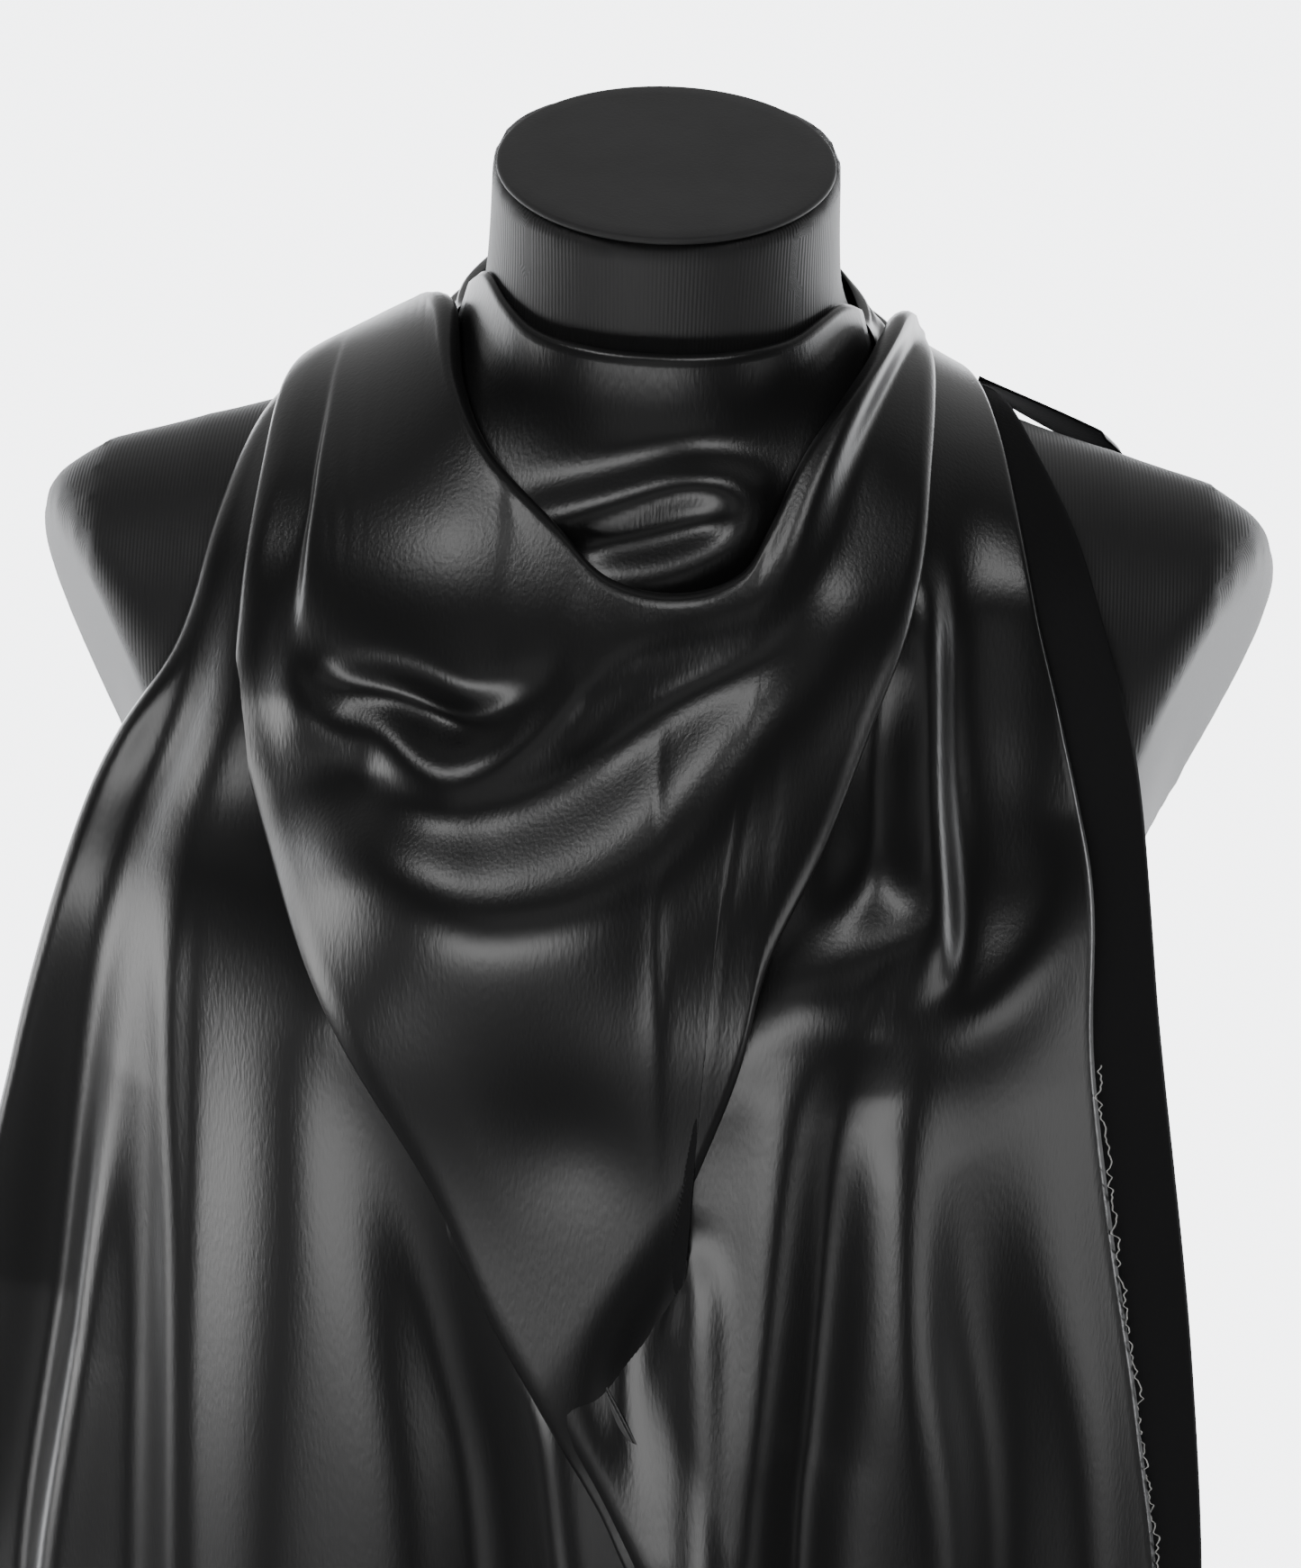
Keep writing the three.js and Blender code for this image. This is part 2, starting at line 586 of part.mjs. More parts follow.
add('inner_pole', innerPole(), CHROME);
add('pole_glide', poleGlide(), KNOB_BLACK);
add('column_tube', columnTube(), STEEL_BLACK);
add('column_end_cap', columnEndCap(), KNOB_BLACK);
add('height_clamp', heightClamp(), KNOB_BLACK);
add('height_knob', clampKnob(POLE_GRIP_TIP, CLAMP_KNOB_Z), KNOB_BLACK);
add('leg_hub', legHub(), STEEL_BLACK);
LEG_AZIMUTHS.forEach((azimuth, i) => {
  const number = i + 1;
  const hubPin = moved(rivet(LEG_PIVOT_R, LEG_PIVOT_Z, -EAR_GAP - EAR_THICK, EAR_GAP + EAR_THICK), turnZ(azimuth));
  add(`leg_pin_${number}`, hubPin, ZINC);
  add(`leg_${number}`, leg(azimuth), STEEL_BLACK);
  add(`foot_${number}`, foot(azimuth), RUBBER);
  add(`strut_${number}`, strut(azimuth), STEEL_BLACK);
  add(`strut_pin_${number}`, strutPin(azimuth), ZINC);
  add(`collar_pin_${number}`, collarPin(azimuth), ZINC);
});
add('slide_collar', slideCollar(), KNOB_BLACK);
add('collar_knob', moved(clampKnob(COLUMN_R + GAP, COLLAR_PIVOT_Z), turnZ(COLLAR_KNOB_TURN)), KNOB_BLACK);

export default dressForm;
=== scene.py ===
"""The looks of a jersey-covered dress form with satin draped over its front.

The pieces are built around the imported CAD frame. The camera, lights, room and shaders are in metres, and
the form's and the cloth's named lengths are in mm unless a comment says metres."""

import math

import bmesh
import bpy
import numpy as np
from mathutils import Matrix, Vector
from mathutils.bvhtree import BVHTree


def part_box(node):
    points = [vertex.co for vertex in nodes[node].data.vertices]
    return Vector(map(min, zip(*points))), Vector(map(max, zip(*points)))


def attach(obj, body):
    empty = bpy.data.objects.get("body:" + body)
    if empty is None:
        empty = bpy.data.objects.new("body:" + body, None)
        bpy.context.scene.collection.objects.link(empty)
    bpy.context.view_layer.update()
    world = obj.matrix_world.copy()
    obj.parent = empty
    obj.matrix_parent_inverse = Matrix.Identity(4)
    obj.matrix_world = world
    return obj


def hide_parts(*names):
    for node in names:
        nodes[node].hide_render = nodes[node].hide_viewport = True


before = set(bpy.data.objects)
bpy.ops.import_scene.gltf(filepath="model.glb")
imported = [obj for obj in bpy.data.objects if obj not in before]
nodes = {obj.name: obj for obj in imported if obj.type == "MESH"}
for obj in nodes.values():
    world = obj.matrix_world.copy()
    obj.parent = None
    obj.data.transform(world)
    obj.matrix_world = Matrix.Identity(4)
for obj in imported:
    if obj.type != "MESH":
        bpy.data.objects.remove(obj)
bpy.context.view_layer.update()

MM = 0.001
POLE_Y = (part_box("column_tube")[0].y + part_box("column_tube")[1].y) / 2


# ---------------------------------------------------------------- small helpers


def new_mesh(name, vertices, faces, smooth=True):
    mesh = bpy.data.meshes.new(name)
    mesh.from_pydata([tuple(v) for v in vertices], [], [tuple(f) for f in faces])
    mesh.validate()
    mesh.update()
    piece = bpy.data.objects.new(name, mesh)
    bpy.context.scene.collection.objects.link(piece)
    if smooth:
        mesh.shade_smooth()
    return piece


def coordinates(mesh):
    flat = np.empty(len(mesh.vertices) * 3)
    mesh.vertices.foreach_get("co", flat)
    return flat.reshape(-1, 3)


def set_coordinates(mesh, points):
    mesh.vertices.foreach_set("co", np.asarray(points, float).ravel())
    mesh.update()


def apply_modifiers(piece):
    """Bakes a piece's modifiers into its own mesh."""
    graph = bpy.context.evaluated_depsgraph_get()
    mesh = bpy.data.meshes.new_from_object(piece.evaluated_get(graph))
    piece.modifiers.clear()
    piece.data = mesh
    return piece


def turned(name, profile, sides):
    """A closed solid of revolution about Z, from [radius, height] points that start and end on the axis."""
    rings = profile[1:-1]
    angles = np.linspace(0, 2 * math.pi, sides, endpoint=False)
    points = [(0, 0, profile[0][1])]
    for radius, height in rings:
        points += [(radius * math.cos(a), radius * math.sin(a), height) for a in angles]
    points.append((0, 0, profile[-1][1]))
    faces = []
    for i in range(sides):
        j = (i + 1) % sides
        faces.append((0, 1 + j, 1 + i))
        for r in range(len(rings) - 1):
            low, high = 1 + r * sides, 1 + (r + 1) * sides
            faces.append((low + i, low + j, high + j, high + i))
        top = 1 + (len(rings) - 1) * sides
        faces.append((top + i, top + j, len(points) - 1))
    return new_mesh(name, points, faces)


# ---------------------------------------------------------------- shader helpers


class Shader:
    """A material and short ways to add nodes to it."""

    def __init__(self, name):
        self.material = bpy.data.materials.new(name)
        self.material.use_nodes = True
        self.tree = self.material.node_tree
        self.nodes = self.tree.nodes
        self.bsdf = self.nodes["Principled BSDF"]

    def set(self, **values):
        for name, value in values.items():
            socket = self.bsdf.inputs[name.replace("_", " ")]
            socket.default_value = value
        return self

    def node(self, kind, **settings):
        node = self.nodes.new(kind)
        for name, value in settings.items():
            if name in node.inputs:
                node.inputs[name].default_value = value
            else:
                setattr(node, name, value)
        return node

    def link(self, source, target):
        self.tree.links.new(source, target)

    def place(self, scale=(1, 1, 1)):
        """Object coordinates in metres, stretched by a scale."""
        coord = self.node("ShaderNodeTexCoord")
        mapping = self.node("ShaderNodeMapping")
        mapping.inputs["Scale"].default_value = scale
        self.link(coord.outputs["Object"], mapping.inputs["Vector"])
        return mapping.outputs["Vector"]

    def noise(self, scale, detail=3.0, roughness=0.5, stretch=(1, 1, 1)):
        noise = self.node("ShaderNodeTexNoise", Scale=scale, Detail=detail, Roughness=roughness)
        self.link(self.place(stretch), noise.inputs["Vector"])
        return noise.outputs["Fac"]

    def ramp(self, value, stops):
        ramp = self.node("ShaderNodeValToRGB")
        elements = ramp.color_ramp.elements
        while len(elements) < len(stops):
            elements.new(0.5)
        for element, (position, color) in zip(elements, stops):
            element.position = position
            element.color = (*color, 1)
        self.link(value, ramp.inputs["Fac"])
        return ramp.outputs["Color"]

    def math(self, operation, first, second=0.0):
        node = self.node("ShaderNodeMath", operation=operation)
        for socket, value in zip(node.inputs, (first, second)):
            if isinstance(value, (int, float)):
                socket.default_value = value
            else:
                self.link(value, socket)
        return node.outputs[0]

    def bump(self, height, strength, distance, below=None):
        bump = self.node("ShaderNodeBump")
        bump.inputs["Strength"].default_value = strength
        bump.inputs["Distance"].default_value = distance
        self.link(height, bump.inputs["Height"])
        if below is not None:
            self.link(below, bump.inputs["Normal"])
        self.link(bump.outputs["Normal"], self.bsdf.inputs["Normal"])
        return bump.outputs["Normal"]


def grey(value):
    return (value, value, value * 1.03)


# ---------------------------------------------------------------- camera and light

# The camera's values were fitted to the reference picture by a separate program.
CAMERA_TARGET = Vector((0.0014, -0.09, 1.1913))
CAMERA_DISTANCE = 1.653
CAMERA_ELEVATION = math.radians(26.44)
CAMERA_AZIMUTH = math.radians(1.38)
CAMERA_ROLL = math.radians(1.84)
CAMERA_FOV = math.radians(19.29)
ROOM_WHITE = (0.96, 0.975, 1, 1)
ROOM_GLOW = 5.2
ROOM_TONES = ((0.0, 0.03), (0.45, 0.05), (0.62, 0.5), (1.0, 0.8))     # from the front of the room to its back
FLOOR_HALF = 30        # metres
FLOOR_SPLIT = 0.75     # metres behind the origin, where the dim floor ends


def make_camera():
    data = bpy.data.cameras.new("camera")
    data.sensor_fit = "VERTICAL"
    data.angle = CAMERA_FOV
    data.clip_end = 60
    camera = bpy.data.objects.new("camera", data)
    bpy.context.scene.collection.objects.link(camera)
    away = Vector((
        math.sin(CAMERA_AZIMUTH) * math.cos(CAMERA_ELEVATION),
        -math.cos(CAMERA_AZIMUTH) * math.cos(CAMERA_ELEVATION),
        math.sin(CAMERA_ELEVATION),
    ))
    look = (-away).to_track_quat("-Z", "Y").to_matrix().to_4x4()
    roll = Matrix.Rotation(CAMERA_ROLL, 4, "Z")
    camera.matrix_world = Matrix.Translation(CAMERA_TARGET + away * CAMERA_DISTANCE) @ look @ roll
    bpy.context.scene.camera = camera


def area_light(name, azimuth, elevation, distance, size, power, aim=(0, -0.1, 1.2)):
    """A soft box that looks at a point. Azimuth 0 is in front of the form, and positive is to its left."""
    data = bpy.data.lights.new(name, "AREA")
    data.shape = "RECTANGLE"
    data.size, data.size_y = size
    data.energy = power
    light = bpy.data.objects.new(name, data)
    bpy.context.scene.collection.objects.link(light)
    a, e = math.radians(azimuth), math.radians(elevation)
    away = Vector((math.sin(a) * math.cos(e), -math.cos(a) * math.cos(e), math.sin(e)))
    turn = (-away).to_track_quat("-Z", "Y").to_matrix().to_4x4()
    light.matrix_world = Matrix.Translation(Vector(aim) + away * distance) @ turn
    return light


def make_lights():
    area_light("key_left", -34, 50, 2.6, (0.9, 0.7), 19)
    area_light("key_right", 24, 50, 2.6, (0.9, 0.7), 17)
    area_light("fill_front", 0, 8, 3.5, (2.4, 1.2), 5)
    area_light("low_left", -12, -30, 2.0, (1.7, 0.7), 30)
    area_light("low_right", 64, -26, 2.0, (0.9, 0.9), 8)
    area_light("low_far_left", -84, -22, 2.0, (0.8, 0.9), 18)
    area_light("side_left", -115, -8, 2.4, (1.6, 2.2), 16)
    area_light("side_right", 115, -8, 2.4, (1.6, 2.2), 16)


def make_world():
    """A pale room: white where it is seen directly, and darker in front than behind in reflections."""
    world = bpy.data.worlds.new("room")
    bpy.context.scene.world = world
    world.use_nodes = True
    tree = world.node_tree
    tree.nodes.clear()
    output = tree.nodes.new("ShaderNodeOutputWorld")
    mix = tree.nodes.new("ShaderNodeMixShader")
    seen = tree.nodes.new("ShaderNodeBackground")
    seen.inputs["Color"].default_value = ROOM_WHITE
    seen.inputs["Strength"].default_value = ROOM_GLOW
    lit = tree.nodes.new("ShaderNodeBackground")
    lit.inputs["Strength"].default_value = 1.0
    path = tree.nodes.new("ShaderNodeLightPath")
    coord = tree.nodes.new("ShaderNodeTexCoord")
    split = tree.nodes.new("ShaderNodeSeparateXYZ")
    ramp = tree.nodes.new("ShaderNodeValToRGB")
    elements = ramp.color_ramp.elements
    while len(elements) < len(ROOM_TONES):
        elements.new(0.5)
    for element, (position, value) in zip(elements, ROOM_TONES):
        element.position = position
        element.color = (value, value, value, 1)
    spread = tree.nodes.new("ShaderNodeMapRange")
    spread.inputs["From Min"].default_value = -1
    links = tree.links
    links.new(coord.outputs["Generated"], split.inputs[0])
    links.new(split.outputs["Y"], spread.inputs["Value"])
    links.new(spread.outputs["Result"], ramp.inputs["Fac"])
    links.new(ramp.outputs["Color"], lit.inputs["Color"])
    links.new(path.outputs["Is Camera Ray"], mix.inputs[0])
    links.new(lit.outputs[0], mix.inputs[1])
    links.new(seen.outputs[0], mix.inputs[2])
    links.new(mix.outputs[0], output.inputs["Surface"])


def floor_part(name, near, far, colour, glow):
    corners = [(-FLOOR_HALF, near, 0), (FLOOR_HALF, near, 0), (FLOOR_HALF, far, 0), (-FLOOR_HALF, far, 0)]
    floor = new_mesh(name, corners, [(0, 1, 2, 3)], smooth=False)
    shader = Shader(name).set(Base_Color=(*grey(colour), 1), Roughness=0.75)
    shader.set(Emission_Color=ROOM_WHITE, Emission_Strength=glow)
    floor.data.materials.append(shader.material)


def make_floor():
    """A dim floor in front of the form, and a glowing white one behind it."""
    floor_part("floor_front", -FLOOR_HALF, FLOOR_SPLIT, 0.06, 0.0)
    floor_part("floor_behind", FLOOR_SPLIT, FLOOR_HALF, 0.2, ROOM_GLOW)


# ---------------------------------------------------------------- torso form

# each row: height, half width, depth in front, depth behind (mm, round the pole)
TRUNK_STATIONS = (
    (640, 148, 92, 102), (700, 151, 95, 105), (760, 172, 108, 118), (820, 180, 112, 122),
    (880, 171, 106, 112), (950, 144, 94, 93), (1010, 125, 87, 81), (1070, 137, 94, 84),
    (1130, 155, 102, 95), (1180, 161, 106, 102), (1230, 155, 102, 108), (1270, 138, 90, 103),
    (1305, 104, 74, 88), (1330, 80, 64, 74), (1352, 66, 60, 62), (1380, 59, 60, 55),
    (1430, 57, 64, 48), (1470, 57, 68, 42),
)
# each row: distance from the middle, top, bottom, depth in front, depth behind (mm)
YOKE_STATIONS = (
    (0, 1345, 1180, 70, 88), (60, 1344, 1178, 72, 88), (110, 1327, 1168, 70, 80),
    (160, 1314, 1156, 63, 70), (195, 1304, 1152, 58, 62), (212, 1292, 1154, 55, 58),
    (222, 1277, 1158, 50, 54), (262, 1262, 1174, 40, 44),
)
TRUNK_POWER = 2.25
BUST_X, BUST_Z, BUST_RISE, BUST_WIDTH, BUST_HEIGHT = 92, 1140, 27, 42, 46
ARM_POINT = np.array((200.0, 0.0, 1245.0))
ARM_NORMAL = np.array((0.862, -0.402, -0.309))
NECK_POINT = np.array((0.0, -10.0, 1420.0))
NECK_TILT = math.radians(8)
NECK_NORMAL = np.array((0.0, -math.sin(NECK_TILT), math.cos(NECK_TILT)))
JERSEY_OUT = 1.8
ARM_EDGE = 11.0        # how softly the arms' cut edges are rounded
NECK_EDGE = 5.0
SHOULDER_BLEND = 34.0


def smooth_table(rows, steps=400):
    """Catmull-Rom values of each column, finely spaced by the first."""
    rows = np.array(rows, float)
    at = np.linspace(rows[0, 0], rows[-1, 0], steps)
    i = np.clip(np.searchsorted(rows[:, 0], at, side="right") - 1, 0, len(rows) - 2)
    last = len(rows) - 1
    p0, p1, p2, p3 = (rows[np.clip(i + k, 0, last)] for k in (-1, 0, 1, 2))
    t = ((at - p1[:, 0]) / (p2[:, 0] - p1[:, 0]))[:, None]
    bend = 2 * p0 - 5 * p1 + 4 * p2 - p3
    twist = -p0 + 3 * p1 - 3 * p2 + p3
    return at, (0.5 * (2 * p1 + (p2 - p0) * t + bend * t**2 + twist * t**3))[:, 1:]


TRUNK = smooth_table(TRUNK_STATIONS)
YOKE = smooth_table(YOKE_STATIONS)


def look_up(table, at):
    return [np.interp(at, table[0], column) for column in table[1].T]


def bell(distance, width):
    return np.exp(-0.5 * (distance / width) ** 2)


def trunk_value(p):
    x, y, z = p.T
    half, front, back = look_up(TRUNK, z)
    forward = np.clip(-y / front, 0, 1) ** 2
    y = y + forward * BUST_RISE * bell(np.abs(x) - BUST_X, BUST_WIDTH) * bell(z - BUST_Z, BUST_HEIGHT)
    depth = np.where(y < 0, front, back)
    total = (np.abs(x) / half) ** TRUNK_POWER + (np.abs(y) / depth) ** TRUNK_POWER
    return total ** (1 / TRUNK_POWER) - 1


def yoke_value(p):
    x, y, z = p.T
    top, bottom, front, back = look_up(YOKE, np.abs(x))
    middle = top - 0.42 * (top - bottom)
    depth = np.where(y < 0, front, back)
    height = np.where(z > middle, top - middle, middle - bottom)
    return np.hypot(y / depth, (z - middle) / height) - 1


def slope(function, p, step=0.5):
    parts = []
    for axis in np.eye(3) * step:
        parts.append((function(p + axis) - function(p - axis)) / (2 * step))
    return np.stack(parts, 1)


def distance(function, p):
    """The distance to a surface where a function is zero, near enough to it."""
    grade = np.linalg.norm(slope(function, p), axis=1)
    return function(p) / np.maximum(grade, 1e-5)


def soft_min(a, b, k):
    h = np.maximum(k - np.abs(a - b), 0) / k
    return np.minimum(a, b) - h * h * k / 4


def soft_max(a, b, k):
    return -soft_min(-a, -b, k)


def form_distance(p):
    """Distance in mm from the jersey's outer face, for points in mm round the pole."""
    yoke = distance(yoke_value, p)
    for side in (1, -1):
        flip = np.array((side, 1, 1))
        plane = (p - ARM_POINT * flip) @ (ARM_NORMAL * flip)
        yoke = soft_max(yoke, plane, ARM_EDGE)
    body = soft_min(distance(trunk_value, p), yoke, SHOULDER_BLEND)
    neck = (p - NECK_POINT) @ NECK_NORMAL
    return soft_max(body, neck, NECK_EDGE) - JERSEY_OUT


def outer_skin(node):
    """The outer wall of a CAD skin that is open at the bottom, closed off there."""
    mesh = bmesh.new()
    mesh.from_mesh(nodes[node].data)
    bmesh.ops.remove_doubles(mesh, verts=mesh.verts, dist=1e-5)
    low = min(v.co.z for v in mesh.verts) + 1e-4
    rim = [f for f in mesh.faces if all(v.co.z < low for v in f.verts)]
    bmesh.ops.delete(mesh, geom=rim, context="FACES")
    start = max(mesh.verts, key=lambda v: v.co.x)
    kept, queue = {start}, [start]
    while queue:
        for edge in queue.pop().link_edges:
            for vertex in edge.verts:
                if vertex not in kept:
                    kept.add(vertex)
                    queue.append(vertex)
    bmesh.ops.delete(mesh, geom=[v for v in mesh.verts if v not in kept], context="VERTS")
    border = [e for e in mesh.edges if e.is_boundary]
    bmesh.ops.holes_fill(mesh, edges=border, sides=0)
    bmesh.ops.triangulate(mesh, faces=[f for f in mesh.faces if len(f.verts) > 4])
    result = bpy.data.meshes.new("skin")
    mesh.to_mesh(result)
    mesh.free()
    return result


def project_to_form(points, rounds=4):
    """Moves points in metres onto the form's surface."""
    p = (points - (0, POLE_Y, 0)) / MM
    for _ in range(rounds):
        grade = slope(form_distance, p)
        step = form_distance(p) / np.maximum((grade**2).sum(1), 0.2)
        p = p - grade * np.clip(step, -12, 12)[:, None]
    return p * MM + (0, POLE_Y, 0)


VOXEL = 0.0045         # metres
ARM_TIP = 0.196        # metres from the middle, past which the arm ends are smoothed
TIP_PASSES = 8


def smooth_arm_tips(mesh):
    tips = [v for v in mesh.verts if abs(v.co.x) > ARM_TIP]
    for _ in range(TIP_PASSES):
        bmesh.ops.smooth_vert(mesh, verts=tips, factor=0.5, use_axis_x=True, use_axis_y=True, use_axis_z=True)


def open_base(mesh, hem):
    base = [f for f in mesh.faces if f.normal.z < -0.8 and f.calc_center_median().z < hem + VOXEL]
    bmesh.ops.delete(mesh, geom=base, context="FACES")


def make_jersey():
    piece = bpy.data.objects.new("jersey", outer_skin("jersey_cover"))
    bpy.context.scene.collection.objects.link(piece)
    remesh = piece.modifiers.new("even", "REMESH")
    remesh.mode = "VOXEL"
    remesh.voxel_size = VOXEL
    apply_modifiers(piece)
    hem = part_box("jersey_cover")[0].z
    points = coordinates(piece.data)
    wall = points[:, 2] > hem + 0.4 * VOXEL
    points[wall] = project_to_form(points[wall])
    points[:, 2] = np.maximum(points[:, 2], hem)
    set_coordinates(piece.data, points)
    mesh = bmesh.new()
    mesh.from_mesh(piece.data)
    smooth_arm_tips(mesh)
    open_base(mesh, hem)
    mesh.to_mesh(piece.data)
    mesh.free()
    piece.data.shade_smooth()
    return piece


# ---------------------------------------------------------------- what the cloth lies on

CLEAR = 5.0            # between the jersey and the cloth over it
MAP_STEP = 4.0
MAP_X = np.arange(-300.0, 301.0, MAP_STEP)
FALL_TOP = 1290.0      # above this height a column of the map runs up and over the shoulder
HEM = 446.0
FALL_Z = np.arange(HEM - 12, FALL_TOP + 0.1, MAP_STEP)
RISE_LENGTH = 176.0
RISE = np.arange(MAP_STEP, RISE_LENGTH + 0.1, MAP_STEP)
MAP_Q = np.concatenate((FALL_Z, FALL_TOP + RISE))
HANG_BACK = 0.05       # how fast hanging cloth falls back towards the body
CHEST_TOP = 1330       # the form is felt for from here down
FORM_LOW = 690         # below this height the cloth hangs free
ARM_REACH = 150        # past this distance from the middle the cloth turns back by ARM_SLOPE
ARM_FRONT = -62
ARM_SLOPE = 0.42
FREE_BACK = 70.0       # the depth of the map where nothing holds it forward
SHOULDER_REACH = 190.0
LEAD = 45.0            # how far up the two parts of the map are blended


def blurred(values, sigma, axis):
    """A Gaussian blur along one axis, by whole grid steps, that keeps the ends."""
    reach = int(math.ceil(3 * sigma))
    weights = bell(np.arange(-reach, reach + 1), sigma)
    weights /= weights.sum()
    pad = [(0, 0)] * values.ndim
    pad[axis] = (reach, reach)
    wide = np.pad(values, pad, mode="edge")
    result = np.zeros_like(values)
    for k, weight in enumerate(weights):
        part = [slice(None)] * values.ndim
        part[axis] = slice(k, k + values.shape[axis])
        result += weight * wide[tuple(part)]
    return result


def hull_front(x, y):
    """The front of a row, with its hollows bridged straight across. Front is negative."""
    chain = []
    for point in zip(x, y):
        while len(chain) > 1:
            (ax, ay), (bx, by) = chain[-2], chain[-1]
            if (bx - ax) * (point[1] - ay) - (by - ay) * (point[0] - ax) <= 0:
                chain.pop()
            else:
                break
        chain.append(point)
    hx, hy = zip(*chain)
    return np.interp(x, hx, hy)


def hanging_front(tree):
    """Depth of the cloth on the form's front, and hanging down below it, by height and place across."""
    reach = np.abs(MAP_X)
    far = np.where(reach > ARM_REACH, ARM_FRONT + ARM_SLOPE * (reach - ARM_REACH), FREE_BACK)
    front = np.zeros((len(FALL_Z), len(MAP_X)))
    heights = np.concatenate((FALL_Z, np.arange(FALL_TOP + MAP_STEP, CHEST_TOP, MAP_STEP)))
    ahead = Vector((0, 1, 0))
    lowest = far.copy()
    for z in heights[::-1]:
        lowest = np.minimum(lowest + MAP_STEP * HANG_BACK, far)
        if z > FORM_LOW:
            for i, x in enumerate(MAP_X):
                hit = tree.ray_cast(Vector((x * MM, -1.0, z * MM)), ahead)[0]
                if hit is not None:
                    lowest[i] = min(lowest[i], (hit.y - POLE_Y) / MM - CLEAR)
        if z <= FALL_TOP:
            row = int(round((z - FALL_Z[0]) / MAP_STEP))
            front[row] = hull_front(MAP_X, lowest)
    return front


def rising_profile(tree, x, start_y):
    """Points up the front, over the shoulder and down behind it, in one upright slice."""
    centre = Vector((x * MM, POLE_Y - 5 * MM, FALL_TOP * MM))
    points = []
    for angle in np.radians(np.arange(-90, 118, 3.0)):
        aim = Vector((0, math.sin(angle), math.cos(angle)))
        hit, normal = tree.ray_cast(centre + aim * 0.5, -aim)[:2]
        if hit is None:
            continue
        lifted = hit + normal * CLEAR * MM
        points.append(((lifted.y - POLE_Y) / MM, lifted.z / MM))
    points = np.array(points)
    steps = np.hypot(*np.diff(points, axis=0).T)
    along = np.concatenate(([0], np.cumsum(steps)))
    y = np.interp(RISE, along, points[:, 0])
    z = np.interp(RISE, along, points[:, 1])
    lead = (start_y - points[0, 0]) * np.exp(-RISE / LEAD)
    return y + lead, z


def cloth_map(tree):
    """A grid of points that cloth lies on: rows go from the hem up, columns go across."""
    front = blurred(blurred(hanging_front(tree), 3.0, 1), 3.0, 0)
    rows = len(MAP_Q)
    grid = np.zeros((rows, len(MAP_X), 3))
    grid[:, :, 0] = MAP_X
    falls = len(FALL_Z)
    grid[:falls, :, 1] = front
    grid[:falls, :, 2] = FALL_Z[:, None]
    for i, x in enumerate(MAP_X):
        reach = min(max(x, -SHOULDER_REACH), SHOULDER_REACH)
        y, z = rising_profile(tree, reach, front[-1, i])
        grid[falls:, i, 1] = y
        grid[falls:, i, 2] = z
    smooth = blurred(grid, 1.6, 1)
    smooth = blurred(smooth, 1.5, 0)
    smooth[:, :, 0] = MAP_X
    return smooth


def form_tree(piece):
    faces = [tuple(face.vertices) for face in piece.data.polygons]
    return BVHTree.FromPolygons(coordinates(piece.data).tolist(), faces)


# ---------------------------------------------------------------- cloth panels

STEP = 2.4      # between neighbouring points of a panel
CLOTH_THICK = 0.9


def resampled(points, count):
    """A smooth curve through the points, cut into equal lengths."""
    points = np.array(points, dtype=float)
    ends = 2 * points[[0, -1]] - points[[1, -2]]
    p = np.vstack((ends[:1], points, ends[1:]))
    t = np.linspace(0, 1, 24, endpoint=False)[:, None]
    pieces = []
    for a, b, c, d in zip(p[:-3], p[1:-2], p[2:-1], p[3:]):
        bend = (2 * a - 5 * b + 4 * c - d) * t ** 2 + (3 * b - a - 3 * c + d) * t ** 3
        pieces.append(b + ((c - a) * t + bend) / 2)
    fine = np.vstack(pieces + [points[-1:]])
    along = np.concatenate(([0], np.cumsum(np.hypot(*np.diff(fine[:, :2], axis=0).T))))
    at = np.linspace(0, along[-1], count)
    return np.stack([np.interp(at, along, column) for column in fine.T], axis=1)


def smooth_step(value, start, end):
    t = np.clip((value - start) / (end - start), 0, 1)
    return t * t * (3 - 2 * t)


class Fold:
    """A ridge or a groove along a line of (across, map height, depth) points.

    Left of the line's direction it spreads by `left`, right of it by `right`."""

    def __init__(self, left, right, *points):
        self.spread = left, right
        self.line = resampled(points, 60)

    def height(self, place):
        best = np.full(place.shape[:-1], np.inf)
        result = np.zeros(place.shape[:-1])
        for a, b in zip(self.line[:-1], self.line[1:]):
            run = b - a
            offset = place - a[:2]
            t = np.clip((offset @ run[:2]) / (run[:2] @ run[:2]), 0, 1)
            gap = offset - t[..., None] * run[:2]
            far = np.hypot(gap[..., 0], gap[..., 1])
            side = run[0] * gap[..., 1] - run[1] * gap[..., 0]
            spread = np.where(side > 0, self.spread[0], self.spread[1])
            nearer = far < best
            best = np.where(nearer, far, best)
            result = np.where(nearer, (a[2] + t * run[2]) * bell(far, spread), result)
        return result


def folded(place, folds, soft=3.0):
    """The depth of all the folds over a grid of places, eased where their sides meet."""
    depth = sum((fold.height(place) for fold in folds), np.zeros(place.shape[:-1]))
    return blurred(blurred(depth, soft / STEP, 0), soft / STEP, 1)


